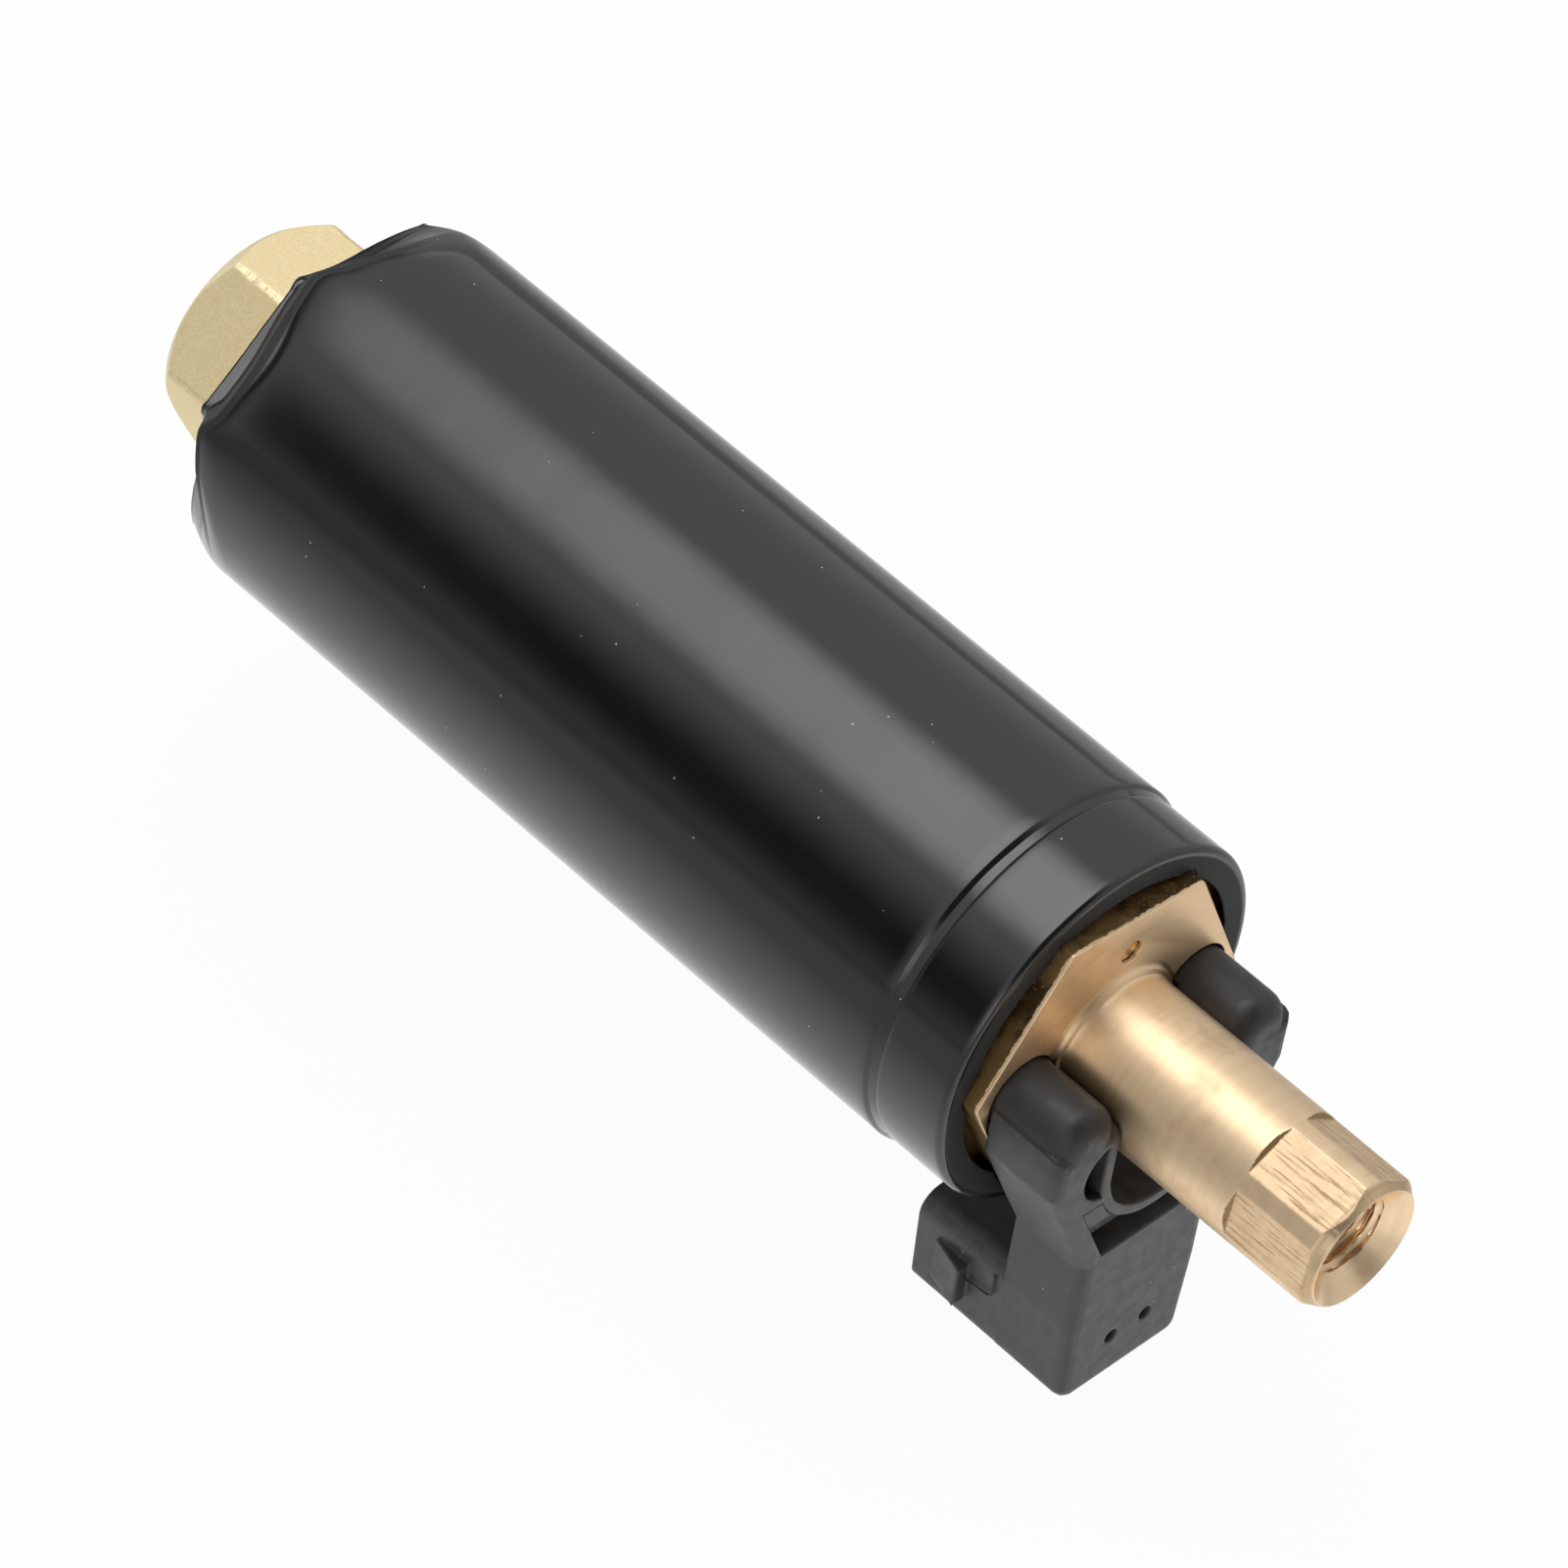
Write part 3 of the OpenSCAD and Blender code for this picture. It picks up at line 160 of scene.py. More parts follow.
def mix_colours(tree, share, a, b):
    """Colour a turning into b; each is three numbers or a link."""
    a, b = ((*colour, 1.0) if isinstance(colour, tuple) else colour for colour in (a, b))
    return put(tree, "Mix", {0: share, 6: a, 7: b}, data_type="RGBA").outputs[2]


print("shader helpers for links, sums, steps and mixes")

# %% [markdown]
# A procedural finish reads where the shaded point is. Object coordinates are in metres and stay
# with the piece when it moves. Noise gives soft random patches there, and a mesh can also carry
# values painted on its points, such as 1 on the flats of a hexagon and 0 elsewhere.

# %% Helpers for place and noise
def here(tree):
    """The place of the shaded point in the frame of the model, in metres."""
    return put(tree, "TexCoord").outputs["Object"]


def noise(tree, scale, detail=2.0, roughness=0.5, at=None):
    """Soft random patches, about 1 / scale metres across."""
    made = put(tree, "TexNoise", {"Vector": here(tree) if at is None else at, "Scale": scale,
                                  "Detail": detail, "Roughness": roughness})
    return made.outputs["Fac"]


def painted(tree, label):
    """The value that the mesh carries on its points under this name."""
    return put(tree, "Attribute", attribute_name=label).outputs["Fac"]


print("place and noise are read in metres")

# %% [markdown]
# An effect that several finishes share is a node group: it is built once, and each material places
# it with other values. `effect` starts one with named inputs and outputs, `place` puts one into a
# material. Grain is the first, the fine unevenness of a blasted or moulded surface. Two sizes of
# noise are added, because a single size looks like a printed pattern.

# %% Effect: grain
def effect(name, inputs, outputs):
    """A new node group with value inputs and the named outputs."""
    tree = bpy.data.node_groups.new(name, "ShaderNodeTree")
    for label, value in inputs.items():
        socket = tree.interface.new_socket(label, in_out="INPUT", socket_type="NodeSocketFloat")
        socket.default_value = value
    for label in outputs:
        tree.interface.new_socket(label, in_out="OUTPUT", socket_type="NodeSocketFloat")
    return tree, tree.nodes.new("NodeGroupInput").outputs, tree.nodes.new("NodeGroupOutput")


def place(tree, group, sockets):
    made = tree.nodes.new("ShaderNodeGroup")
    made.node_tree = group
    return set_sockets(tree, made, sockets).outputs


grain_group, grain_in, grain_out = effect("grain", {"Size mm": 0.3, "Spread": 0.5},
                                          ["Height", "Patches"])
grain_scale = math_node(grain_group, "DIVIDE", 1.0 / MM, grain_in["Size mm"])
grain_fine = noise(grain_group, grain_scale, roughness=0.6)
grain_coarse = noise(grain_group, times(grain_group, grain_scale, 0.12), 3.0, 0.55)
fine_share = times(grain_group, grain_fine, grain_in["Spread"])
set_sockets(grain_group, grain_out, {"Height": plus(grain_group, fine_share, grain_coarse),
                                     "Patches": band(grain_group, grain_coarse, 0.35, 0.65)})
print("effect:", grain_group.name)

# %% [markdown]
# A lathe leaves fine circles: rings round a cylinder and rings on a face. Both come from noise that
# reads the place along X and the distance from the axis. It reads the turn round the axis only a
# little, so each mark runs a good way round before it fades.

# %% Effect: turning marks
turning_group, turning_in, turning_out = effect("turning_marks", {"Pitch mm": 0.1},
                                                ["Height", "Streaks"])
apart = put(turning_group, "SeparateXYZ", {0: here(turning_group)}).outputs
square_y = math_node(turning_group, "POWER", apart["Y"], 2.0)
square_z = math_node(turning_group, "POWER", apart["Z"], 2.0)
from_axis = math_node(turning_group, "SQRT", plus(turning_group, square_y, square_z))
round_turn = math_node(turning_group, "ARCTAN2", apart["Z"], apart["Y"])
lathe_place = put(turning_group, "CombineXYZ", {"X": apart["X"], "Y": from_axis,
                                                "Z": times(turning_group, round_turn, 0.0002)})
mark_scale = math_node(turning_group, "DIVIDE", 1.0 / MM, turning_in["Pitch mm"])
streak_scale = times(turning_group, mark_scale, 0.15)
set_sockets(turning_group, turning_out, {
    "Height": noise(turning_group, mark_scale, 3.0, 0.7, at=lathe_place.outputs[0]),
    "Streaks": noise(turning_group, streak_scale, at=lathe_place.outputs[0])})
print("effect:", turning_group.name)

# %% [markdown]
# Dust and pits are small dots with clean surface between them. A Voronoi texture gives each cell a
# centre: the distance to it makes the dot, and the cell's own random colour thins the dots out.

# %% Effect: specks
specks_group, specks_in, specks_out = effect(
    "specks", {"Spacing mm": 2.0, "Size": 0.06, "Share": 0.5}, ["Dots"])
cell_scale = math_node(specks_group, "DIVIDE", 1.0 / MM, specks_in["Spacing mm"])
cells = put(specks_group, "TexVoronoi", {"Vector": here(specks_group), "Scale": cell_scale})
dot = math_node(specks_group, "LESS_THAN", cells.outputs["Distance"], specks_in["Size"])
cell_draw = put(specks_group, "SeparateColor", {0: cells.outputs["Color"]})
kept = math_node(specks_group, "LESS_THAN", cell_draw.outputs[0], specks_in["Share"])
set_sockets(specks_group, specks_out, {"Dots": times(specks_group, dot, kept)})


def specks(tree, spacing_mm, size, share):
    """Dots of this size, as a part of the spacing, in this share of the cells."""
    sockets = {"Spacing mm": spacing_mm, "Size": size, "Share": share}
    return place(tree, specks_group, sockets)["Dots"]


print("effect:", specks_group.name)

# %% [markdown]
# Edges are never quite sharp, so a rounded edge catches light, and handling rubs them first. The
# Bevel node gives the normal that a small rounding would have. Where it turns away from the true
# normal, an edge is near, and that difference is the edge mask. The finishes paint their edges
# lighter with it, as wear; on the brass flange and the plastics that is also a painted highlight.

# %% Effect: edge mask
closeness_group, closeness_in, closeness_out = effect("edge_closeness", {"Width mm": 0.3, "Sharpness": 6.0}, ["Edge"])
rounding = put(closeness_group, "Bevel", {"Radius": times(closeness_group, closeness_in["Width mm"], MM)},
               samples=4)
plain_normal = put(closeness_group, "NewGeometry").outputs["Normal"]
likeness = put(closeness_group, "VectorMath", {0: rounding.outputs[0], 1: plain_normal},
               operation="DOT_PRODUCT").outputs["Value"]
apartness = math_node(closeness_group, "SUBTRACT", 1.0, likeness)
near_edge = math_node(closeness_group, "MULTIPLY", apartness, closeness_in["Sharpness"], clamp=True)
set_sockets(closeness_group, closeness_out, {"Edge": near_edge})


def edge_nearness_mask(tree, width_mm, sharpness):
    return place(tree, closeness_group, {"Width mm": width_mm, "Sharpness": sharpness})["Edge"]


print("effect:", closeness_group.name)

# %% [markdown]
# Every finish starts as a Principled shader whose plain numbers sit on its own sockets. `finish`
# makes one, and `relief` adds a Bump node whose height comes from any of the effects.

# %% Finish helpers
finishes = {}


def finish(name, colour, roughness, metallic=0.0, **sockets):
    material = bpy.data.materials.new(name)
    material.use_nodes = True
    tree = material.node_tree
    tree.nodes.clear()
    shader = put(tree, "BsdfPrincipled", {"Base Color": (*colour, 1.0), "Roughness": roughness,
                                          "Metallic": metallic})
    set_sockets(tree, shader, {label.replace("_", " "): value for label, value in sockets.items()})
    surface = put(tree, "OutputMaterial", {"Surface": shader.outputs[0]})
    surface.is_active_output = True
    finishes[name] = material
    return tree, shader


def relief(tree, shader, height, distance_mm):
    bump = put(tree, "Bump", {"Height": height, "Distance": distance_mm * MM})
    set_sockets(tree, shader, {"Normal": bump.outputs[0]})
    return bump


print("finish and relief are ready")

# %% [markdown]
# Shrink film is a polyester skin, about as glossy as a record. It is not a perfect mirror: it
# takes on the can's slight waves, traps a few bubbles, and picks up dust that shows as white dots.
# Where it is pinched in behind the collar and folded over the rim it has lost its gloss.

# %% Finish: shrink film
def shrink_film():
    black = (0.0055, 0.0055, 0.006)
    tree, shader = finish("shrink_film", black, 0.1, IOR=1.65)
    waves = noise(tree, 55.0)
    peel = times(tree, noise(tree, 900.0), 0.02)
    bubbles = times(tree, specks(tree, 2.3, 0.1, 0.45), 0.5)
    relief(tree, shader, plus(tree, plus(tree, waves, peel), bubbles), 0.08)
    dust = specks(tree, 3.3, 0.034, 0.55)
    gloss = band(tree, noise(tree, 35.0, 4.0), 0.3, 0.75, 0.085, 0.14)
    dulled = times(tree, painted(tree, "dull"), 0.6)
    set_sockets(tree, shader, {"Base Color": mix_colours(tree, dust, black, (0.55, 0.55, 0.56)),
                               "Roughness": plus(tree, gloss, dulled)})


shrink_film()
print("finish:", finishes["shrink_film"].name)

# %% [markdown]
# The neck's flats were cut with a broach, which tears scores along them. The noise is coarse along
# X and fine across it, and only its peaks count. A material shows the scores where its mesh is
# painted broached.

# %% Effect: broach scores
scores_group, scores_in, scores_out = effect("broach_scores", {"Start": 0.5, "Full": 0.66},
                                             ["Scores"])
per_metre = (110.0, 2300.0, 2300.0)
lengthwise = put(scores_group, "VectorMath", {0: here(scores_group), 1: per_metre},
                 operation="MULTIPLY").outputs[0]
torn = noise(scores_group, 1.0, 4.0, 0.7, at=lengthwise)
score_peaks = band(scores_group, torn, scores_in["Start"], scores_in["Full"])
set_sockets(scores_group, scores_out, {"Scores": score_peaks})
print("effect:", scores_group.name)

# %% [markdown]
# Where the bar was left raw it has a dark, bumpy scale. It ends in a ragged line, because noise
# shifts the place along X that the step is taken at.

# %% Effect: raw scale
scale_group, scale_in, scale_out = effect("raw_scale", {"Below mm": 67.0, "Wander mm": 0.9},
                                          ["Scale", "Bumps"])
ragged_line = noise(scale_group, 900.0, 4.0, 0.7)
along = put(scale_group, "SeparateXYZ", {0: here(scale_group)}).outputs["X"]
along_mm = plus(scale_group, times(scale_group, along, 1.0 / MM),
                times(scale_group, ragged_line, scale_in["Wander mm"]))
past_line = math_node(scale_group, "SUBTRACT", along_mm, scale_in["Below mm"])
scale_mask = band(scale_group, past_line, -0.05, 0.12, 1.0, 0.0)
set_sockets(scale_group, scale_out, {"Scale": scale_mask,
                                     "Bumps": times(scale_group, scale_mask, ragged_line)})
print("effect:", scale_group.name)

# %% [markdown]
# The outlet is turned brass with a good deal of copper in it, so it looks rosy. Turning marks
# stretch its highlights round the neck, which is what the anisotropy and the radial Tangent do.
# Faint stains darken it in patches, a few pits show, and the bore is smoother than the rest. With
# `dark_below` the brass has the raw scale, with painted glints in it, and its edges are painted
# lighter, partly as a rub and partly as a painted highlight. On the neck the run-out walls of the
# flats are darker, and painted shade lies on the chamfer at the mouth.

# %% Finish: turned brass
lathe_pitch_mm = 0.12


def turned_brass(name, colour, stain, roughness, dark_below=None):
    """Brass off the lathe; below the place dark_below, in millimetres along X, it is raw."""
    tree, shader = finish(name, colour, roughness, metallic=1.0, Anisotropic=0.55,
                          Anisotropic_Rotation=0.25)
    marks = place(tree, turning_group, {"Pitch mm": lathe_pitch_mm})
    grain = place(tree, grain_group, {"Size mm": 0.5, "Spread": 0.3})
    flats = painted(tree, "broached")
    torn = place(tree, scores_group, {"Start": 0.5, "Full": 0.66})["Scores"]
    scores = times(tree, torn, flats)
    # darker run-out walls of the flats, and painted shade on the chamfer at the mouth
    runout_dark_and_lip_shade = times(tree, painted(tree, "dark_runout_lip_shade"), 0.8)
    bored = painted(tree, "bored")
    stains = noise(tree, 140.0, 6.0, 0.65)
    cloud = band(tree, stains, 0.48, 0.75)
    streak = band(tree, marks["Streaks"], 0.3, 0.7, 0.0, 0.15)

    tone = mix_colours(tree, times(tree, cloud, 0.45), colour, stain)
    tone = mix_colours(tree, streak, tone, stain)
    tone = mix_colours(tree, specks(tree, 3.0, 0.05, 0.4), tone, (0.05, 0.025, 0.01))
    tone = mix_colours(tree, times(tree, scores, 0.75), tone, (0.33, 0.19, 0.09))
    tone = mix_colours(tree, runout_dark_and_lip_shade, tone, (0.26, 0.17, 0.07))
    rough = plus(tree, times(tree, marks["Height"], 0.12), roughness - 0.06)
    rough = plus(tree, rough, times(tree, cloud, 0.08))
    rough = plus(tree, rough, times(tree, flats, 0.1))
    rough = math_node(tree, "SUBTRACT", rough, times(tree, bored, 0.16))
    height = plus(tree, marks["Height"], times(tree, grain["Height"], 0.25))
    height = math_node(tree, "SUBTRACT", height, times(tree, scores, 1.6))
    height = times(tree, height, band(tree, bored, 0.0, 1.0, 1.0, 0.25))
    if dark_below is not None:
        raw = place(tree, scale_group, {"Below mm": dark_below, "Wander mm": 0.9})
        # edges painted lighter: partly a rub through the scale, partly a painted highlight
        edge_rub_and_highlight = times(tree, edge_nearness_mask(tree, 0.25, 5.0), 0.6)
        tone = mix_colours(tree, edge_rub_and_highlight, tone, (0.99, 0.86, 0.62))
        # painted glints: golden dots in the dark scale
        raw_tone = mix_colours(tree, specks(tree, 0.55, 0.24, 0.35), (0.075, 0.044, 0.018),
                               (0.42, 0.26, 0.10))
        raw_tone = mix_colours(tree, band(tree, stains, 0.4, 0.6), raw_tone, (0.24, 0.15, 0.06))
        tone = mix_colours(tree, raw["Scale"], tone, raw_tone)
        rough = plus(tree, rough, times(tree, raw["Scale"], 0.15))
        height = plus(tree, height, times(tree, raw["Bumps"], 9.0))
    round_axis = put(tree, "Tangent", direction_type="RADIAL", axis="X").outputs[0]
    set_sockets(tree, shader, {"Base Color": tone, "Roughness": rough, "Tangent": round_axis})
    relief(tree, shader, height, 0.01)


brass_stain = (0.60, 0.36, 0.19)
turned_brass("outlet_brass", (0.94, 0.72, 0.47), brass_stain, 0.42)
print("finish:", finishes["outlet_brass"].name)

# %% [markdown]
# The inlet hexagon was blasted before it was wrapped: dull, pale and sandy, with a paler rub on
# its corners, where a spanner touched it. Its mesh is painted there.

# %% Finish: blasted brass
def blasted_brass():
    tree, shader = finish("inlet_brass", (0.98, 0.82, 0.53), 0.62, metallic=1.0)
    grain = place(tree, grain_group, {"Size mm": 0.16, "Spread": 0.8})
    rubbed = painted(tree, "corner")
    sand = band(tree, noise(tree, 3600.0), 0.35, 0.65)
    tone = mix_colours(tree, sand, (0.98, 0.80, 0.47), (1.0, 0.91, 0.62))
    tone = mix_colours(tree, times(tree, grain["Patches"], 0.1), tone, (0.88, 0.68, 0.37))
    tone = mix_colours(tree, rubbed, tone, (0.97, 0.83, 0.55))
    rough = band(tree, rubbed, 0.0, 1.0, 0.64, 0.56)
    set_sockets(tree, shader, {"Base Color": tone, "Roughness": rough})
    relief(tree, shader, grain["Height"], 0.035)


blasted_brass()
print("finish:", finishes["inlet_brass"].name)

# %% [markdown]
# Glass-filled nylon comes out of the mould dull and faintly cloudy. Its edges are painted lighter,
# partly as wear where it has been handled and partly as a painted sheen. The same finish in other
# colours serves every moulded piece inside the pump. On the socket three things are added: its two
# boots are painted darker than the rest, as painted shade, dust lies on it, and a Bevel node rounds
# the edges of its mesh in the shading, as the mould does.

# %% Finish: moulded plastic
def moulded(name, colour, roughness, sheen_on_edge=0.5, boot_from=None):
    """Dull plastic; above boot_from, a height in metres, painted shade darkens the socket's boots.
    """
    def tint(level):
        return tuple(min(1.0, c * level) for c in colour)

    tree, shader = finish(name, colour, roughness)
    grain = place(tree, grain_group, {"Size mm": 0.25, "Spread": 0.5})
    # edges painted lighter: partly handling wear, partly a painted sheen
    edge_rub_and_highlight = times(tree, edge_nearness_mask(tree, 0.3, 2.5), 0.6)
    tone = mix_colours(tree, grain["Patches"], tint(0.86), tint(1.14))
    tone = mix_colours(tree, edge_rub_and_highlight, tone, tint(1 + sheen_on_edge))
    rough = band(tree, grain["Patches"], 0.0, 1.0, roughness - 0.05, roughness + 0.07)
    bump = relief(tree, shader, grain["Height"], 0.02)
    if boot_from is not None:
        # painted shade: the boots, above boot_from, are darkened
        up = put(tree, "SeparateXYZ", {0: here(tree)}).outputs["Z"]
        boot = band(tree, up, boot_from - 3 * MM, boot_from + 3 * MM, 0.0, 0.8)
        tone = mix_colours(tree, boot, tone, tint(0.3))
        tone = mix_colours(tree, specks(tree, 2.6, 0.04, 0.5), tone, (0.5, 0.5, 0.5))
        soft_edges = put(tree, "Bevel", {"Radius": 0.7 * MM}, samples=8)
        set_sockets(tree, bump, {"Normal": soft_edges.outputs[0]})
    set_sockets(tree, shader, {"Base Color": tone, "Roughness": rough})


moulded("housing", (0.062, 0.062, 0.064), 0.46, boot_from=-2 * MM)
moulded("insulator", (0.72, 0.69, 0.6), 0.45, sheen_on_edge=0.1)
inner_mouldings = {"holder_resin": ((0.14, 0.09, 0.06), 0.5),
                   "impeller_resin": ((0.06, 0.06, 0.06), 0.45),
                   "poppet_resin": ((0.45, 0.46, 0.2), 0.4),
                   "seal": ((0.02, 0.02, 0.02), 0.6),
                   "ferrite": ((0.09, 0.09, 0.1), 0.65),
                   "carbon": ((0.05, 0.05, 0.05), 0.55)}
for name, (colour, roughness) in inner_mouldings.items():
    moulded(name, colour, roughness)
print("moulded finishes: housing, insulator and", len(inner_mouldings), "more")

# %% [markdown]
# The metals inside are seen only when the pump is opened, but each has its own way of being made:
# drawn, ground, stamped, plated or cast. They share one recipe with other colours and grain.

# %% Finish: worked metals
def worked_metal(name, colour, roughness, pitch_mm, grain_mm=0.4):
    tree, shader = finish(name, colour, roughness, metallic=1.0)
    marks = place(tree, turning_group, {"Pitch mm": pitch_mm})
    grain = place(tree, grain_group, {"Size mm": grain_mm, "Spread": 0.4})
    dark = tuple(c * 0.88 for c in colour)
    bright = tuple(min(1.0, c * 1.15) for c in colour)
    tone = mix_colours(tree, grain["Patches"], dark, colour)
    tone = mix_colours(tree, edge_nearness_mask(tree, 0.2, 3.0), tone, bright)
    rough = band(tree, marks["Height"], 0.2, 0.8, roughness - 0.05, roughness + 0.08)
    set_sockets(tree, shader, {"Base Color": tone, "Roughness": rough})
    height = plus(tree, marks["Height"], times(tree, grain["Height"], 0.4))
    relief(tree, shader, height, 0.012)


metals = {"can_steel": ((0.45, 0.45, 0.47), 0.35, 0.4),
          "tinned": ((0.72, 0.70, 0.64), 0.32, 0.3),
          "plated_steel": ((0.66, 0.64, 0.56), 0.35, 0.2),
          "spring_steel": ((0.60, 0.61, 0.64), 0.28, 0.2),
          "ground_steel": ((0.66, 0.67, 0.69), 0.18, 0.05),
          "lamination": ((0.32, 0.32, 0.34), 0.45, 0.5),
          "copper": ((0.72, 0.38, 0.2), 0.32, 0.3),
          "bush_bronze": ((0.55, 0.40, 0.24), 0.5, 0.15, 0.15),
          "plate_aluminium": ((0.68, 0.69, 0.71), 0.4, 0.15),
          "gauze": ((0.66, 0.66, 0.68), 0.4, 0.25, 0.2)}
for name, recipe in metals.items():
    worked_metal(name, *recipe)
print("metal finishes:", len(metals))

# %% [markdown]
# Each piece names the record's material slot that it takes its finish from. The shrink film is the
# one slot whose finish has another name here. `fit` does the three things that every new piece
# needs: a finish, the body that it rides on, and the CAD pieces that it stands for.

# %% Dress the CAD pieces
finish_of_slot = {"film": "shrink_film"}


def dress(piece, slot, finish_name=""):
    material = finishes[finish_name or finish_of_slot.get(slot, slot)]
    piece.data.materials.clear()
    piece.data.materials.append(material)


def fit(piece, slot, *stands_for, finish_name=""):
    dress(piece, slot, finish_name)
    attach(piece, "pump")
    if stands_for:
        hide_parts(*stands_for)


for part in frame["record"]["subparts"]:
    dress(nodes[part["node"]], part["material_slot"])

# %% [markdown]
# The shapes below are worked out in millimetres and handed to Blender in metres. A machined piece
# is smooth along its curves and sharp at its edges, so every mesh is shaded smooth and then marked
# sharp at the edges that bend by more than a few tens of degrees.

# %% Helpers: mesh and shading
def mesh_from(name, points_mm, faces):
    mesh = bpy.data.meshes.new(name)
    mesh.from_pydata((points_mm * MM).tolist(), [], faces)
    return mesh


def shade(mesh, crease_deg):
    """Smooth shading that stays sharp where two faces meet at more than crease_deg."""
    mesh.shade_smooth()
    mesh.set_sharp_from_angle(angle=math.radians(crease_deg))


print("meshes are made in millimetres and scaled by", MM)

# %% [markdown]
# Most visible skins here are rings of points round the pump's axis: a shrink film, a turned neck, a
# hexagon with a chamfer. `ring_skin` weaves such rings into one closed mesh, the last ring joined
# to the first, so no edge is left open. Lathe work could be a Screw modifier on a profile, but
# points let the radius change round the turn too, which folds, flats and threads all need.

# %% Helper: woven rings
def outward(points, faces):
    """Faces turned so that they enclose a positive volume, which is how they look outwards."""
    a, b, c, d = (points[faces[:, k]] for k in range(4))
    volume = (a * np.cross(b, c)).sum() + (a * np.cross(c, d)).sum()
    return faces[:, ::-1] if volume < 0 else faces


def ring_skin(name, stations, turns, crease_deg=35.0, marks=None):
    """Rings of (x, radius) in millimetres, each a number or one value per turn, woven shut.

    marks holds values to paint on the points, a row for each ring."""
    rings = []
    for x, radius in stations:
        x = np.broadcast_to(x, turns.shape)
        radius = np.broadcast_to(radius, turns.shape)
        rings.append(np.stack([x, radius * np.cos(turns), radius * np.sin(turns)], axis=1))
    count, around = len(rings), len(turns)
    points = np.concatenate(rings)
    here_ring, here_turn = np.meshgrid(np.arange(count), np.arange(around), indexing="ij")
    next_ring, next_turn = (here_ring + 1) % count, (here_turn + 1) % around
    corners = [(here_ring, here_turn), (here_ring, next_turn), (next_ring, next_turn),
               (next_ring, here_turn)]
    faces = np.stack([ring * around + turn for ring, turn in corners], axis=-1).reshape(-1, 4)
    mesh = mesh_from(name, points, outward(points, faces).tolist())
    shade(mesh, crease_deg)
    for label, rows in (marks or {}).items():
        values = [np.broadcast_to(row, turns.shape) for row in rows]
        layer = mesh.attributes.new(label, "FLOAT", "POINT")
        layer.data.foreach_set("value", np.array(values, dtype=np.float32).reshape(-1))
    print(name, "rings:", count, "points a ring:", around)
    return add_object(name, mesh)


print("ring_skin is ready")

# %% [markdown]
# The outlines are functions of the turn round the axis. A hexagon is a minimum of six flats and a
# round corner, a torn edge is a sum of random waves that comes out the same on every run, and
# `smooth` and `soft_minimum` let one form run into the next without a kink.

# %% Helpers: outlines round the axis
def even_turns(count, first_deg=0.0):
    return math.radians(first_deg) + np.arange(count) * 2 * np.pi / count


def ragged(turns, seed, reach, waves=60):
    """A smooth random line round the turn, at most reach from zero."""
    draw = np.random.default_rng(seed)
    total = np.zeros_like(turns)
    for k in range(1, waves):
        total += draw.normal() * np.sin(k * turns + draw.uniform(0, 2 * np.pi)) / k ** 0.6
    return reach * total / np.abs(total).max()


def hexagon_radius(turns, across_flats, corner_deg, corner_radius):
    """Distance from the axis to a hexagon, its corners cut to a radius."""
    from_flat = (np.degrees(turns) - corner_deg) % 60 - 30
    return np.minimum(across_flats / 2 / np.cos(np.radians(from_flat)), corner_radius)


def soft_minimum(a, b, width):
    share = np.clip(0.5 + 0.5 * (b - a) / width, 0, 1)
    return b + (a - b) * share - width * share * (1 - share)


def smooth(value, low, high):
    """0 below low, 1 above high, and an S curve between them."""
    t = np.clip((value - low) / (high - low), 0, 1)
    return t * t * (3 - 2 * t)


corner_reach = hexagon_radius(even_turns(1), 10, 0, 99)[0]
print("a hexagon of 10 mm across flats reaches", round(float(corner_reach), 2), "mm")

# %% [markdown]
# Sizes below are in millimetres and come from the frame wherever it has them: the film's box gives
# its radius and both ends, the caps' boxes give the ends of the brass. The few others are the
# details that the model leaves to this scene, such as the place of a groove.

# %% Sizes from the frame
def box_mm(node):
    low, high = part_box(node)
    return np.array(low) / MM, np.array(high) / MM


film_low, film_high = box_mm("film_sleeve")
film_radius = film_high[1]
rim_x = film_high[0]
film_end_x = film_low[0]
outlet_low, outlet_high = box_mm("outlet_cap")
inlet_low, inlet_high = box_mm("inlet_cap")
shoulder_x = box_mm("can_shell")[0][0]

mouth_x = outlet_high[0]
flange_x = mouth_x - 41.7
flange_across = 38.5
flange_corner_deg = -4.0
groove_x = rim_x - 11.5
under_film_corner_deg = 43.6
print("film radius", round(film_radius, 2), "rim", round(rim_x, 2), "rear edge",
      round(film_end_x, 2))
print("outlet cap", outlet_low[0].round(2), "to", mouth_x.round(2),
      "inlet cap", inlet_low[0].round(2), "to", inlet_high[0].round(2))

# %% [markdown]
# The black skin is a heat-shrink tube. It hugs the round can, dips into the rolled groove, folds
# over the outlet rim, and at the rear it is drawn over a hexagon: six facets rise out of the round.
# On the side of the camera, and opposite it, the film clings to the metal. At the two corners in
# between it stands off. A cloth simulation could find these forms, but the parts below set them, so
# each is a formula.

# %% Corners of the drawn film
corners_deg = [45.6, 105.6, 161.6, 221.6, 283.6, 343.6]
film_corners_deg = [corners_deg[-1] - 360, *corners_deg, corners_deg[0] + 360]
upper_corner_deg = corners_deg[0]
corner_round_deg = 2.5


def from_film_corner(turns):
    """Degrees to the nearest corner of the drawn film, whose corners are not quite even."""
    even = np.interp(np.degrees(turns) % 360, film_corners_deg, np.arange(-60, 361, 60))
    return (even + 30) % 60 - 30


def from_film_flat(turns):
    """Radians to the middle of the flat, with the corners rounded off."""
    return np.radians(30 - np.hypot(from_film_corner(turns), corner_round_deg))


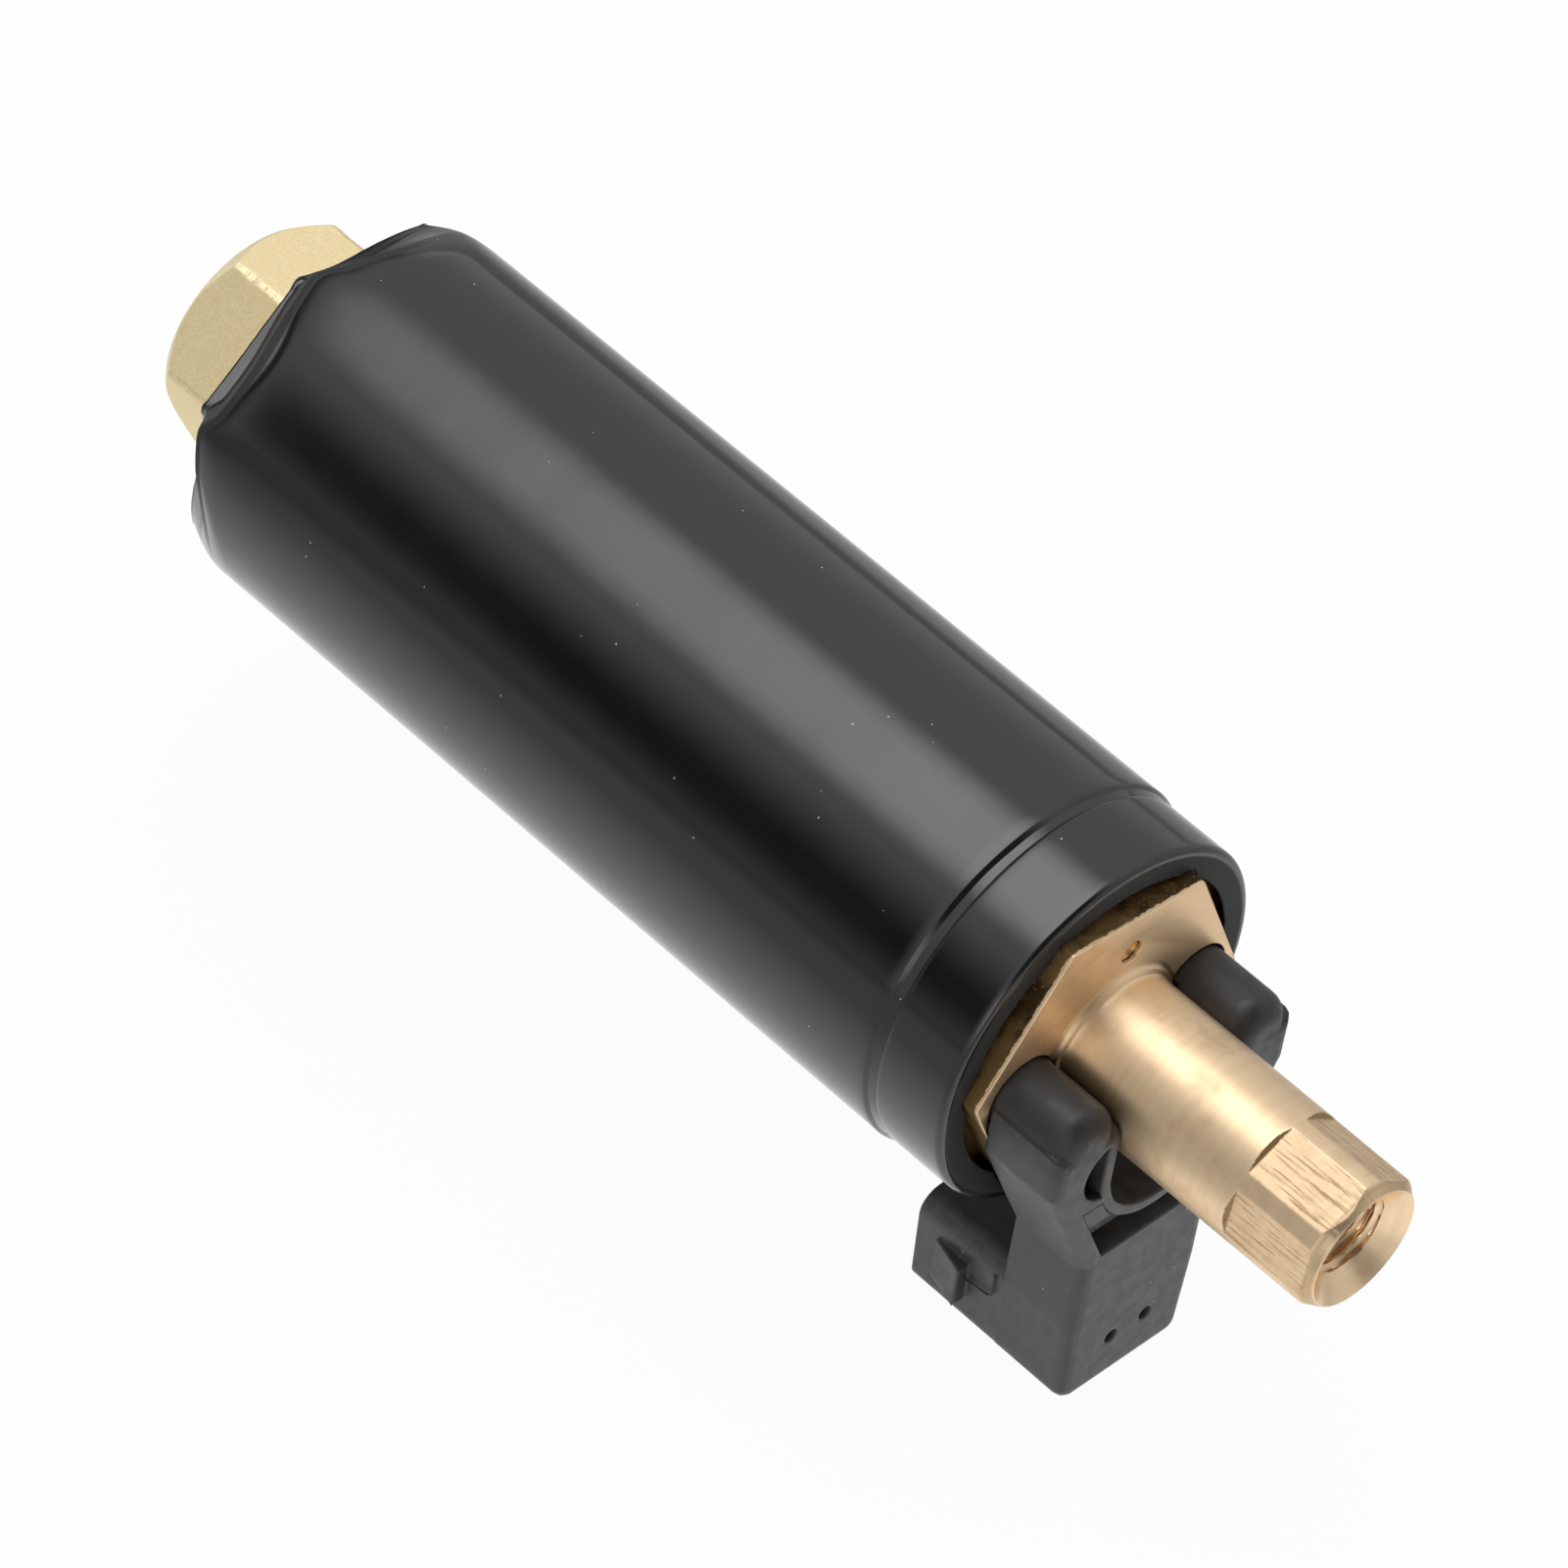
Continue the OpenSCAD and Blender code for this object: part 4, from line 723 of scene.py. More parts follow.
def far_corner(turns):
    """1 at the two corners where the film stands off the metal, 0 on the flats between them."""
    near_side_deg = under_film_corner_deg + 90
    apart_deg = np.abs((np.degrees(turns) - near_side_deg + 180) % 360 - 180)
    return smooth(apart_deg, 38, 85) * (1 - smooth(apart_deg, 95, 145))


print("corners of the drawn film at", corners_deg, "degrees")

# %% [markdown]
# From the free edge the film first runs as a narrow collar with a gentle slope. At the end of the
# collar it turns steeper, until it reaches the round body. The place where it gets there follows
# from the two slopes, and the finish needs it too.

# %% Collar of the drawn film
drawn_half = 18.4
edge_inset = 0.2
collar_slope = 0.5
added_slope = 0.9


def from_free_edge(x):
    return x - film_end_x - edge_inset


def collar_length(turns):
    """How far the narrow collar reaches from the free edge; it is longer at the lower corner."""
    along_flat = from_film_corner(turns) % 60 / 60
    return 1.2 + 1.5 * smooth(along_flat, 0.1, 0.7) * smooth(1 - along_flat, 0.0, 0.15)


def body_meets(turns):
    """How far from the free edge the drawn film meets the round body, on the near flats."""
    collar = collar_length(turns)
    to_body = film_radius * np.cos(from_film_flat(turns)) - drawn_half - collar_slope * collar
    return collar + to_body / (collar_slope + added_slope)


print("drawn film: collar", collar_length(even_turns(360)).min().round(2), "to",
      collar_length(even_turns(360)).max().round(2), "mm")

# %% [markdown]
# The two slopes run into each other with a soft bend, and the body meets them with a soft crease.
# Over that lie the small things: a wavy free edge with its corners pulled out into tips, a fold
# beside each tip, fine wrinkles, and a pinch behind the collar.

# %% Rear of the film
def shoulder_radius(x, turns):
    """Radius of the film where it is drawn from the round can down to the hexagon."""
    stand = far_corner(turns)
    collar = collar_length(turns)
    away = from_free_edge(x)
    bend = 0.12
    steep = bend * np.log1p(np.exp(np.clip((away - collar) / bend, -30, 30)))
    reach = 2.95 - 0.45 * np.cos(turns - math.radians(upper_corner_deg))
    half_across = drawn_half + reach * stand + collar_slope * away
    half_across = half_across + (added_slope - 0.85 * stand) * steep
    ease = 0.58 * (1 - stand) * np.exp(-np.clip(away - body_meets(turns), 0, None) / 2.2)
    return soft_minimum(half_across / np.cos(from_film_flat(turns)), film_radius - ease,
                        0.5 + 1.7 * stand)


def rear_of_film(turns):
    """Rings from the free edge up the shoulder to the start of the round body."""
    from_corner = from_film_corner(turns)
    stand = far_corner(turns)
    tip = np.exp(-(from_corner / 2.2) ** 2)
    fold = np.exp(-((from_corner - 2.6) / 1.3) ** 2)
    belly = np.cos(np.radians(from_corner * 3)) ** 2
    sway = ragged(turns, 12, 1.0, 14)
    overhang = (0.95 - 0.55 * np.cos(turns - math.radians(upper_corner_deg))) * stand
    edge_x = film_end_x + 0.25 - overhang - 0.3 * tip + ragged(turns, 11, 0.09)
    rings = []
    for away in np.concatenate([np.linspace(0, 3.4, 46), np.linspace(3.5, 7.5, 34),
                                np.linspace(7.7, 12.0, 20)]):
        x = edge_x + away
        wrinkle = 0.006 * np.sin(away * 15 + 2 * sway) * math.exp(-(away / 1.3) ** 2) * (1 - belly)
        lift = 0.1 * math.exp(-away / 0.2) + 0.22 * tip * math.exp(-away / 0.5)
        crease = 0.16 * fold * math.exp(-(away / 2.4) ** 2)
        behind_collar = (from_free_edge(x) - collar_length(turns)) / 0.22
        pinch = 0.3 * np.exp(-behind_collar ** 2) * (1 - tip) * (1 - stand)
        rings.append((x, shoulder_radius(x, turns) + wrinkle + lift + crease - pinch))
    return rings


print("rear of the film:", len(rear_of_film(even_turns(6))), "rings")

# %% [markdown]
# At the front the film drops into the rolled groove, runs over the narrower ring in front of it and
# folds over the rim. It was cut by hand inside the rim, so that edge wanders too, and it stays just
# clear of the corners of the flange.

# %% Front of the film
def front_of_film(turns):
    """Rings of the rolled groove, the ring in front of it and the fold over the rim."""
    ring_radius = film_radius - 0.5
    groove_radius = film_radius - 0.84 + ragged(turns, 5, 0.12, 24)
    rings = [(groove_x - 0.95, film_radius), (groove_x - 0.78, film_radius - 0.04),
             (groove_x - 0.66, film_radius - 0.13), (groove_x + 0.42, groove_radius),
             (groove_x + 0.58, groove_radius), (groove_x + 0.8, ring_radius - 0.1),
             (groove_x + 0.95, ring_radius - 0.02), (groove_x + 1.3, ring_radius)]
    rings += [(x, ring_radius) for x in np.linspace(groove_x + 2.2, rim_x - 1.4, 9)]
    lip = 0.9
    for turn in np.radians(np.linspace(0, 90, 10)):
        rings.append((rim_x - lip + lip * np.sin(turn), ring_radius - lip + lip * np.cos(turn)))
    flange_clearance = 0.35
    flange_edge = hexagon_radius(turns, flange_across, flange_corner_deg, 22.1)
    cut = np.maximum(film_radius - 4.6, flange_edge + flange_clearance) + ragged(turns, 8, 0.12)
    rings += [(rim_x - 0.01, ring_radius - lip - 0.4), (rim_x - 0.03, cut + 0.3),
              (rim_x - 0.07, cut + 0.1), (rim_x - 0.2, cut)]
    return rings


print("front of the film:", len(front_of_film(even_turns(6))), "rings")

# %% [markdown]
# The three stretches make the outside. The inside is the same line moved in by the film's
# thickness, square to its slope, with every third ring, because no one sees it. The points behind
# the collar and on the fold are painted dull for the finish.

# %% Piece: shrink film
skin_thick = 0.16
folded_in = 4


def dull_share(x, turns):
    """How far the film has lost its gloss between the collar and the round body."""
    away = from_free_edge(x)
    collar = collar_length(turns)
    inner = smooth(away, collar - 0.3, collar - 0.1)
    outer = 1 - smooth(away, body_meets(turns) + 0.4, body_meets(turns) + 1.1)
    return inner * outer * (1 - far_corner(turns))


def film_skin():
    turns = even_turns(540, under_film_corner_deg)
    rear = rear_of_film(turns)
    body = []
    for x in np.linspace(shoulder_x + 8.0, rim_x - 14.0, 24):
        body.append((x, film_radius - 0.012 + ragged(turns, int(1000 + x * 10), 0.006, 12)))
    outside = rear + body + front_of_film(turns)
    dull = [dull_share(x, turns) for x, _ in rear]
    dull += [0.0] * (len(outside) - len(rear) - folded_in) + [1.0] * folded_in
    inside = []
    dull_inside = []
    last = len(outside) - 1
    for k in [*range(0, last, 3), last]:
        x, radius = outside[k]
        before, after = outside[max(k - 1, 0)], outside[min(k + 1, last)]
        dx, dr = after[0] - before[0], after[1] - before[1]
        length = np.hypot(dx, dr)
        inside.append((x + skin_thick * dr / length, radius - skin_thick * dx / length))
        dull_inside.append(dull[k])
    return ring_skin("film_skin", outside + inside[::-1], turns, 30.0,
                     {"dull": dull + dull_inside[::-1]})


film = film_skin()
fit(film, "film", "film_sleeve")

# %% [markdown]
# Under the film the steel can has to follow the same shoulder, or its edge would come through.
# Its first rings lie just inside the film's own, and then come the rolled groove and both lips.

# %% Piece: can under the film
def can_skin():
    turns = even_turns(360, under_film_corner_deg)
    under_film = 0.45
    outside = [(x, shoulder_radius(x, turns) - under_film)
               for x in np.linspace(shoulder_x, shoulder_x + 7.5, 18)]
    outside += [(groove_x - 1.4, 25.58), (groove_x - 0.3, 24.78), (groove_x + 0.3, 24.78),
                (groove_x + 1.4, 25.08), (rim_x - 1.5, 25.08), (rim_x - 0.8, 24.6),
                (rim_x - 0.42, 23.9), (rim_x - 0.42, 22.9)]
    inside = [(rim_x - 2.05, 22.9), (rim_x - 2.05, 23.6), (groove_x + 1.6, 23.6),
              (groove_x + 0.4, 23.3), (groove_x - 0.4, 23.3), (groove_x - 1.6, 24.1),
              (shoulder_x + 1.2, 24.1), (shoulder_x + 1.2, 22.46), (shoulder_x, 22.46)]
    return ring_skin("can_skin", outside + inside, turns, 30.0)


can = can_skin()
fit(can, "can_steel", "can_shell")

# %% [markdown]
# The outlet fitting is one turned and milled piece of brass: a round body inside the can, a
# hexagonal flange, and the neck with its conical mouth and thread. A thread is a ridge whose place
# shifts by one pitch each turn, cut off where the lead-in cone is wider.

# %% Helper: thread in a bore
thread_pitch = 1.5
rings_a_pitch = 12


def threaded_bore(turns, start_x, end_x, minor, deep, widest):
    """Rings along a bore; widest(x) is the radius of the lead-in that cuts the thread."""
    rings = []
    count = int(abs(end_x - start_x) / thread_pitch * rings_a_pitch)
    for x in np.linspace(start_x, end_x, count):
        phase = (x / thread_pitch - turns / (2 * np.pi)) % 1.0
        ridge = np.clip(np.abs(phase - 0.5) * 2.6 - 0.25, 0, 1)
        rings.append((x, np.maximum(minor + deep * ridge, widest(x))))
    return rings


print("thread pitch", thread_pitch, "mm in", rings_a_pitch, "rings")

# %% [markdown]
# The neck is rings again. A small collar and a fillet lead from the flange to the round, and near
# the mouth the radius is the smallest of three things: the lathe's round, six flats that run out in
# a torn curve, and the chamfer. Each ring also says how much of it is broached, and how much it is
# darkened: on the run-out walls of the flats, and by painted shade on the chamfer at the mouth.

# %% Outside of the neck
neck_radius = 9.45
neck_flat_half = 8.7
neck_corner_deg = 25.3
valve_radius = 6.4


def neck_outside(turns):
    collar = [(-1.0, 10.95), (0.01, 10.95), (0.08, 10.6), (0.22, 10.36), (0.42, 10.24),
              (0.56, 10.22), (0.68, 10.14), (0.8, 9.9), (0.92, 9.6), (1.15, 9.48),
              (1.6, neck_radius)]
    rings = [(flange_x + along, radius) for along, radius in collar]
    rings += [(x, neck_radius) for x in np.linspace(flange_x + 3.0, mouth_x - 15.5, 12)]
    from_flat = (np.degrees(turns) - neck_corner_deg) % 60 - 30
    runout = mouth_x - 13.2 + ragged(turns, 21, 0.07, 90)
    broached = [0.0] * len(rings)
    dark_runout_lip_shade = [0.0] * len(rings)
    for x in np.concatenate([np.linspace(mouth_x - 15.0, mouth_x - 11.8, 34),
                             np.linspace(mouth_x - 11.4, mouth_x - 1.9, 14),
                             np.linspace(mouth_x - 1.7, mouth_x, 15)]):
        rise = 1.5 * np.clip(runout - x, 0, 3) + 0.05 * smooth(runout - x, 0, 0.3)
        flat = (neck_flat_half + rise) / np.cos(np.radians(from_flat))
        chamfer = np.interp(x - mouth_x, [-1.5, -0.9, -0.04, 0], [neck_radius, 8.82, 8.36, 8.28])
        if x > mouth_x - 1.5:
            chamfer = chamfer + 0.04 * ragged(turns, 31, 1.0, 80) * smooth(mouth_x - x, 0, 0.5)
        rings.append((x, np.minimum(np.minimum(flat, neck_radius), chamfer)))
        on_flat = smooth(np.minimum(neck_radius, chamfer) - flat, -0.01, 0.03)
        broached.append(on_flat * (1 - smooth(x, mouth_x - 1.1, mouth_x - 0.8)))
        # the lip is painted shade on the chamfer; the run-out walls of the flats are darker
        lip = 0.5 * smooth(x, mouth_x - 1.5, mouth_x - 1.1) * smooth(mouth_x - x, 0.0, 0.3)
        dark_runout_lip_shade.append(np.maximum(on_flat * smooth(rise, 0.01, 0.06), lip))
    return rings, broached, dark_runout_lip_shade


print("outside of the neck:", len(neck_outside(even_turns(6))[0]), "rings")

# %% [markdown]
# The port and the mouth join the outside in one skin, painted bored where a boring tool left the
# brass smooth.

# %% Piece: outlet neck
def outlet_neck():
    turns = even_turns(432, neck_corner_deg)
    outside, broached, dark_runout_lip_shade = neck_outside(turns)
    minor, mouth_radius, cone_length = 5.25, 8.2, 2.7
    thread_end = mouth_x - 15.7
    port_radius = 2.8
    valve_x = 77.9

    def cone(x):
        return mouth_radius + (x - mouth_x) * (mouth_radius - minor) / cone_length

    inside = [(mouth_x, mouth_radius)]
    inside += threaded_bore(turns, mouth_x - 0.15, thread_end, minor, 0.62, cone)
    inside += [(thread_end, port_radius), (valve_x, port_radius), (valve_x, valve_radius),
               (flange_x - 1.0, valve_radius)]
    marks = {"broached": broached + [0.0] * len(inside), "dark_runout_lip_shade": dark_runout_lip_shade + [0.0] * len(inside),
             "bored": [0.0] * len(outside) + [1.0] * len(inside)}
    return ring_skin("outlet_neck", outside + inside, turns, 28.0, marks)


neck = outlet_neck()
fit(neck, "outlet_brass", "outlet_cap")

# %% [markdown]
# The flange is a plate, so its outline is drawn flat and extruded. A filled 2D curve does this in
# one step and its bevel rounds every edge, those of the holes and of the punch mark as well, which
# a Boolean would leave sharp. The curve is turned into a mesh, and then its doubled points are
# joined, since a curve's front, side and back come as separate sheets.

# %% Helpers: meshes from curves
def curve_mesh(name, dimensions, routes, closed, **settings):
    """The mesh of a curve through these routes, each a list of points."""
    curve = bpy.data.curves.new(name, "CURVE")
    curve.dimensions = dimensions
    curve.bevel_resolution = 3
    for label, value in settings.items():
        setattr(curve, label, value)
    for route in routes:
        spline = curve.splines.new("POLY")
        spline.points.add(len(route) - 1)
        spline.use_cyclic_u = closed
        for knot, point in zip(spline.points, route):
            knot.co = (*point, 1)
    drawn = bpy.data.objects.new(name + "_drawn", curve)
    mesh = bpy.data.meshes.new_from_object(drawn)
    bpy.data.objects.remove(drawn)
    mesh.name = name
    return mesh


def close_seams(mesh):
    """Join points that coincide, turn all faces outwards and count the edges left open."""
    seams = bmesh.new()
    seams.from_mesh(mesh)
    bmesh.ops.remove_doubles(seams, verts=seams.verts, dist=1e-7)
    bmesh.ops.recalc_face_normals(seams, faces=seams.faces)
    open_edges = sum(1 for edge in seams.edges if not edge.is_manifold)
    seams.to_mesh(mesh)
    seams.free()
    return open_edges


print("curves become closed meshes")

# %% [markdown]
# A filled curve lies flat in X and Y and is as thick as its extrusion along Z. The plate stands
# across the pump, so each point's coordinates change places once the curve is a mesh.

# %% Helper: plate across the pump
def plate(name, outlines, low_x, high_x, edge):
    """A plate across X whose outlines are lists of (y, z) in millimetres, the outside first."""
    flat = [[(y, z, 0) for y, z in outline] for outline in outlines]
    mesh = curve_mesh(name, "2D", flat, True, fill_mode="BOTH", offset=-edge, bevel_depth=edge,
                      extrude=(high_x - low_x) / 2 - edge)
    places = np.empty(len(mesh.vertices) * 3)
    mesh.vertices.foreach_get("co", places)
    y, z, depth = places.reshape(-1, 3).T
    turned = np.stack([depth + (low_x + high_x) / 2, y, z], axis=1) * MM
    mesh.vertices.foreach_set("co", turned.reshape(-1))
    mesh.update()
    open_edges = close_seams(mesh)
    shade(mesh, 40)
    print(name, "faces:", len(mesh.polygons), "open edges:", open_edges)
    return add_object(name, mesh)


print("plate is ready")

# %% [markdown]
# The flange's outline is a hexagon with small round corners. Two holes let the boots through, one
# is for the neck, and the smallest is for the punch mark. The plate's brass is stained below its
# face, and the round body behind it all over, so they get finishes of their own.

# %% Piece: outlet flange
def ring_points(centre, radius, count):
    """A hole's outline, run clockwise so that its bevel opens outwards."""
    return [(centre[0] + radius * math.cos(2 * math.pi * k / count),
             centre[1] - radius * math.sin(2 * math.pi * k / count))
            for k in range(count)]


def hexagon_outline(across, corner_deg, rounding, arc_steps=5):
    points = []
    reach = across / 2 / math.cos(math.radians(30)) - rounding / math.cos(math.radians(30))
    for side in range(6):
        middle = math.radians(corner_deg + 60 * side)
        centre = (reach * math.cos(middle), reach * math.sin(middle))
        for k in range(arc_steps + 1):
            turn = middle + math.radians(-30 + 60 * k / arc_steps)
            points.append((centre[0] + rounding * math.cos(turn),
                           centre[1] + rounding * math.sin(turn)))
    return points


boot_y = 14.45
boot_hole = 5.3
neck_hole = 9.2
body_front_x = rim_x - 2.2
mark_turn = math.radians(85.0)
mark_from_axis = 13.7
mark_radius = 1.6
mark_centre = (mark_from_axis * math.cos(mark_turn), mark_from_axis * math.sin(mark_turn))
flange = plate("outlet_flange",
               [hexagon_outline(flange_across, flange_corner_deg, 0.9),
                ring_points((0, 0), neck_hole, 96), ring_points((boot_y, 0), boot_hole, 72),
                ring_points((-boot_y, 0), boot_hole, 72),
                ring_points(mark_centre, mark_radius, 36)],
               body_front_x, flange_x, 0.16)
flange_tone = (0.94, 0.70, 0.44)
turned_brass("flange_brass", flange_tone, brass_stain, 0.46, dark_below=flange_x - 0.05)
turned_brass("stained_brass", flange_tone, brass_stain, 0.6, dark_below=flange_x + 5)
fit(flange, "outlet_brass", "outlet_cap", finish_name="flange_brass")

# %% [markdown]
# A centre punch leaves a small round bowl. It is a short closed plug with a hollow top that fills
# the hole in the plate, a little wider than the hole, so that no gap shows. Its brass is shinier,
# and painted darker and redder, as painted shade inside the bowl.

# %% Piece: punch mark
def lathe_solid(name, profile, count, centre=(0.0, 0.0)):
    """A closed ring turned about X: profile is (x, radius) and joins up with itself."""
    piece = ring_skin(name, profile, even_turns(count))
    for vertex in piece.data.vertices:
        vertex.co.y += centre[0] * MM
        vertex.co.z += centre[1] * MM
    return piece


plug_radius = mark_radius + 0.2
plug_floor_x = flange_x - 2.5
bowl_depth, bowl_edge_depth, bowl_steps = 1.6, 0.4, 8
bowl = [(flange_x - bowl_depth + (bowl_depth - bowl_edge_depth) * (k / bowl_steps) ** 2,
         0.02 + plug_radius * k / bowl_steps)
        for k in range(bowl_steps + 1)]
plug = bowl + [(plug_floor_x, plug_radius), (plug_floor_x, 0.02)]
punch_mark = lathe_solid("punch_mark", plug, 36, mark_centre)
# painted shade: a darker, redder brass for the inside of the bowl
turned_brass("punch_bowl_shaded_brass", (0.78, 0.40, 0.15), (0.35, 0.16, 0.05), 0.3)
fit(punch_mark, "outlet_brass", "outlet_cap", finish_name="punch_bowl_shaded_brass")

# %% [markdown]
# The cap's round body sits out of sight in the can, with a waist under the can's rolled groove, a
# groove of its own for the sealing ring, and the two holes that the terminal studs pass through.
# The holes cross the rings, so they are cut with Boolean modifiers, which are applied at once.

# %% Piece: round body of the cap
def drill(piece, centre, radius, low_x, high_x):
    """A round hole along X, in millimetres."""
    at = Matrix.Translation(Vector(((low_x + high_x) / 2, *centre)) * MM)
    mesh = bpy.data.meshes.new("drill")
    tool = bmesh.new()
    bmesh.ops.create_cone(tool, cap_ends=True, segments=48, radius1=radius * MM,
                          radius2=radius * MM, depth=(high_x - low_x) * MM,
                          matrix=at @ Matrix.Rotation(math.pi / 2, 4, "Y"))
    tool.to_mesh(mesh)
    tool.free()
    cutter = add_object("drill", mesh)
    cut = piece.modifiers.new("hole", "BOOLEAN")
    cut.operation = "DIFFERENCE"
    cut.solver = "EXACT"
    cut.object = cutter
    graph = bpy.context.evaluated_depsgraph_get()
    result = bpy.data.meshes.new_from_object(piece.evaluated_get(graph))
    piece.modifiers.clear()
    piece.data = result
    bpy.data.objects.remove(cutter)


body_radius = 24.05
land_radius = 23.55
waist_low, waist_high, waist_radius = 52.05, 55.95, 23.0
seal_low, seal_high, seal_radius = 58.3, 61.1, 21.35
cap_body = lathe_solid("outlet_cap_body", [
    (outlet_low[0], valve_radius), (outlet_low[0], body_radius), (waist_low, body_radius),
    (waist_low, waist_radius), (waist_high, waist_radius), (waist_high, land_radius),
    (seal_low, land_radius), (seal_low, seal_radius), (seal_high, seal_radius),
    (seal_high, land_radius), (body_front_x, land_radius), (body_front_x, valve_radius)], 144)
for stud_y in (boot_y, -boot_y):
    drill(cap_body, (stud_y, 0), 3.25, outlet_low[0] - 1, body_front_x + 1)
fit(cap_body, "outlet_brass", "outlet_cap", finish_name="stained_brass")
print("outlet cap: neck, flange, punch mark and body")

# %% [markdown]
# The inlet end is a blasted hexagon with a turned chamfer. Where a cone meets a flat the edge is a
# curve, so each turn gets its own place for the ring that runs along it. That keeps the edge crisp
# with few rings. The corners are rounded off and chattered, and they are painted for the finish.

# %% Outside of the inlet hexagon
inlet_across = 28.8
inlet_corner_deg = 52.0
corner_cut = 16.4
end_radius = 14.1
film_thick = 0.4
seat_x = film_end_x + film_thick


def inlet_hexagon(turns):
    """Rings from the open end to the film, and how far each point lies on a corner."""
    end_x, slope = inlet_low[0], 0.9
    hexagon = hexagon_radius(turns, inlet_across, inlet_corner_deg, corner_cut)
    on_corner = smooth(hexagon, corner_cut - 0.06, corner_cut - 0.01)
    edge_x = end_x + np.maximum(hexagon - end_radius, 0.0) / slope
    nick = ragged(turns, 41, 0.05, 70)
    end_edge = np.minimum(hexagon, end_radius)
    rings = [(end_x, end_edge - 0.12), (end_x + 0.1, end_edge),
             (edge_x + 0.12 + nick, hexagon - 0.03), (edge_x + 0.32 + nick, hexagon)]
    chamfered = smooth(hexagon, end_radius, end_radius + 0.5)
    corner = [chamfered, chamfered, chamfered, on_corner]
    for step in np.linspace(0.04, 1, 60):
        along = edge_x + 0.32 + (seat_x - edge_x - 0.32) * step
        chatter = 0.05 * np.sin(step * 90 + 3 * np.sin(step * 37)) * on_corner
        rings.append((along, hexagon - 0.03 * on_corner + chatter))
        corner.append(on_corner)
    return rings, corner


print("inlet hexagon:", inlet_across, "mm across flats")

# %% [markdown]
# Behind the film's edge the fitting widens into the larger hexagon that gives the film its facets,
# and then into a round body with a groove for its ring. The bore has the thread for the hose, and
# at its end a seat for the strainer.

# %% Piece: inlet fitting
def inlet_fitting():
    turns = even_turns(480, inlet_corner_deg)
    outside, corner = inlet_hexagon(turns)
    under_film = hexagon_radius(turns, 37.7, under_film_corner_deg, 21.1)
    rear_face = hexagon_radius(turns, 34.6, under_film_corner_deg, 19.4)
    groove_low, groove_high = shoulder_x + 4.6, shoulder_x + 7.4
    port_radius = 6.25
    outside += [(seat_x, rear_face), (seat_x + 1.7, under_film), (shoulder_x + 3, under_film),
                (shoulder_x + 3, body_radius), (groove_low, body_radius), (groove_low, 21.9),
                (groove_high, 21.9), (groove_high, body_radius), (inlet_high[0], body_radius),
                (inlet_high[0], port_radius)]
    end_x = inlet_low[0]
    minor, lead = 8.25, 1.2
    strainer_x, strainer_radius = -72.3, 7.65

    def lead_in(x):
        return minor + lead - (x - end_x)

    inside = [(strainer_x + 1.2, port_radius), (strainer_x + 1.2, strainer_radius),
              (strainer_x, strainer_radius)]
    inside += threaded_bore(turns, strainer_x - 0.05, end_x + 0.1, minor, 0.6, lead_in)
    inside += [(end_x, minor + lead)]
    corner += [0.0] * (len(outside) + len(inside) - len(corner))
    return ring_skin("inlet_fitting", outside + inside, turns, 26.0, {"corner": corner})


inlet = inlet_fitting()
fit(inlet, "inlet_brass", "inlet_cap")

# %% [markdown]
# Four small springs press the brushes and close the valves. A spring is a wire on a helix whose end
# turns lie flat, so its points are a grid: steps along the helix, and a ring of points round the
# wire at each step. A curve with a round bevel could do it too, but a grid gives even rings.

# %% Helper: coil spring
def coil_spring(node, wire_radius, curls, sides=12, steps=28):
    """A helical spring in the box of its CAD piece, its wire's radius in millimetres."""
    low, high = box_mm(node)
    _, middle_y, middle_z = (low + high) / 2
    coil_radius = (high[1] - low[1]) / 2 - wire_radius
    span = high[0] - low[0] - 2 * wire_radius
    end_turns = 0.9
    total = curls + 2 * end_turns
    count = int(total * steps)
    turned = total * np.arange(count + 1)[:, None] / count
    along = np.interp(turned, [0, end_turns, total - end_turns, total],
                      [0, 2 * wire_radius, span - 2 * wire_radius, span])
    way = 2 * np.pi * turned
    round_wire = 2 * np.pi * np.arange(sides) / sides
    reach = coil_radius + wire_radius * np.cos(round_wire)
    x = low[0] + wire_radius + along + wire_radius * np.sin(round_wire)
    points = np.stack([x, middle_y + reach * np.cos(way), middle_z + reach * np.sin(way)], axis=2)
    faces = [(k * sides + side, k * sides + (side + 1) % sides,
              (k + 1) * sides + (side + 1) % sides, (k + 1) * sides + side)
             for k in range(count) for side in range(sides)]
    faces += [tuple(range(sides)), tuple(count * sides + side for side in range(sides))]
    mesh = mesh_from(node + "_coil", points.reshape(-1, 3), faces)
    close_seams(mesh)
    shade(mesh, 50)
    return add_object(node + "_coil", mesh)


print("coil_spring is ready")

# %% [markdown]
# Each spring is a coil in the box of its CAD piece, which it stands in for, with a mesh of its own.

# %% Pieces: springs
spring_curls = 5
springs = [("brush_spring_positive", "brush_positive_slide", 0.3, "high"),
           ("brush_spring_negative", "brush_negative_slide", 0.3, "high"),
           ("check_spring", "check_valve_lift", 0.35, "high"),
           ("relief_spring", "relief_valve_lift", 0.25, "low")]
for node, joint, wire_radius, fixed_end in springs:
    spring = coil_spring(node, wire_radius, spring_curls)
    fit(spring, "spring_steel", node)
    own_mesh(spring)

# %% [markdown]
# The mould leaves thin lines on the socket's sides: the edge of a sprung flap beside the wedge, and
# a nick under it. Each is a fine rounded bead, half sunk in the wall: a curve with a round bevel
# follows its corners in one step.

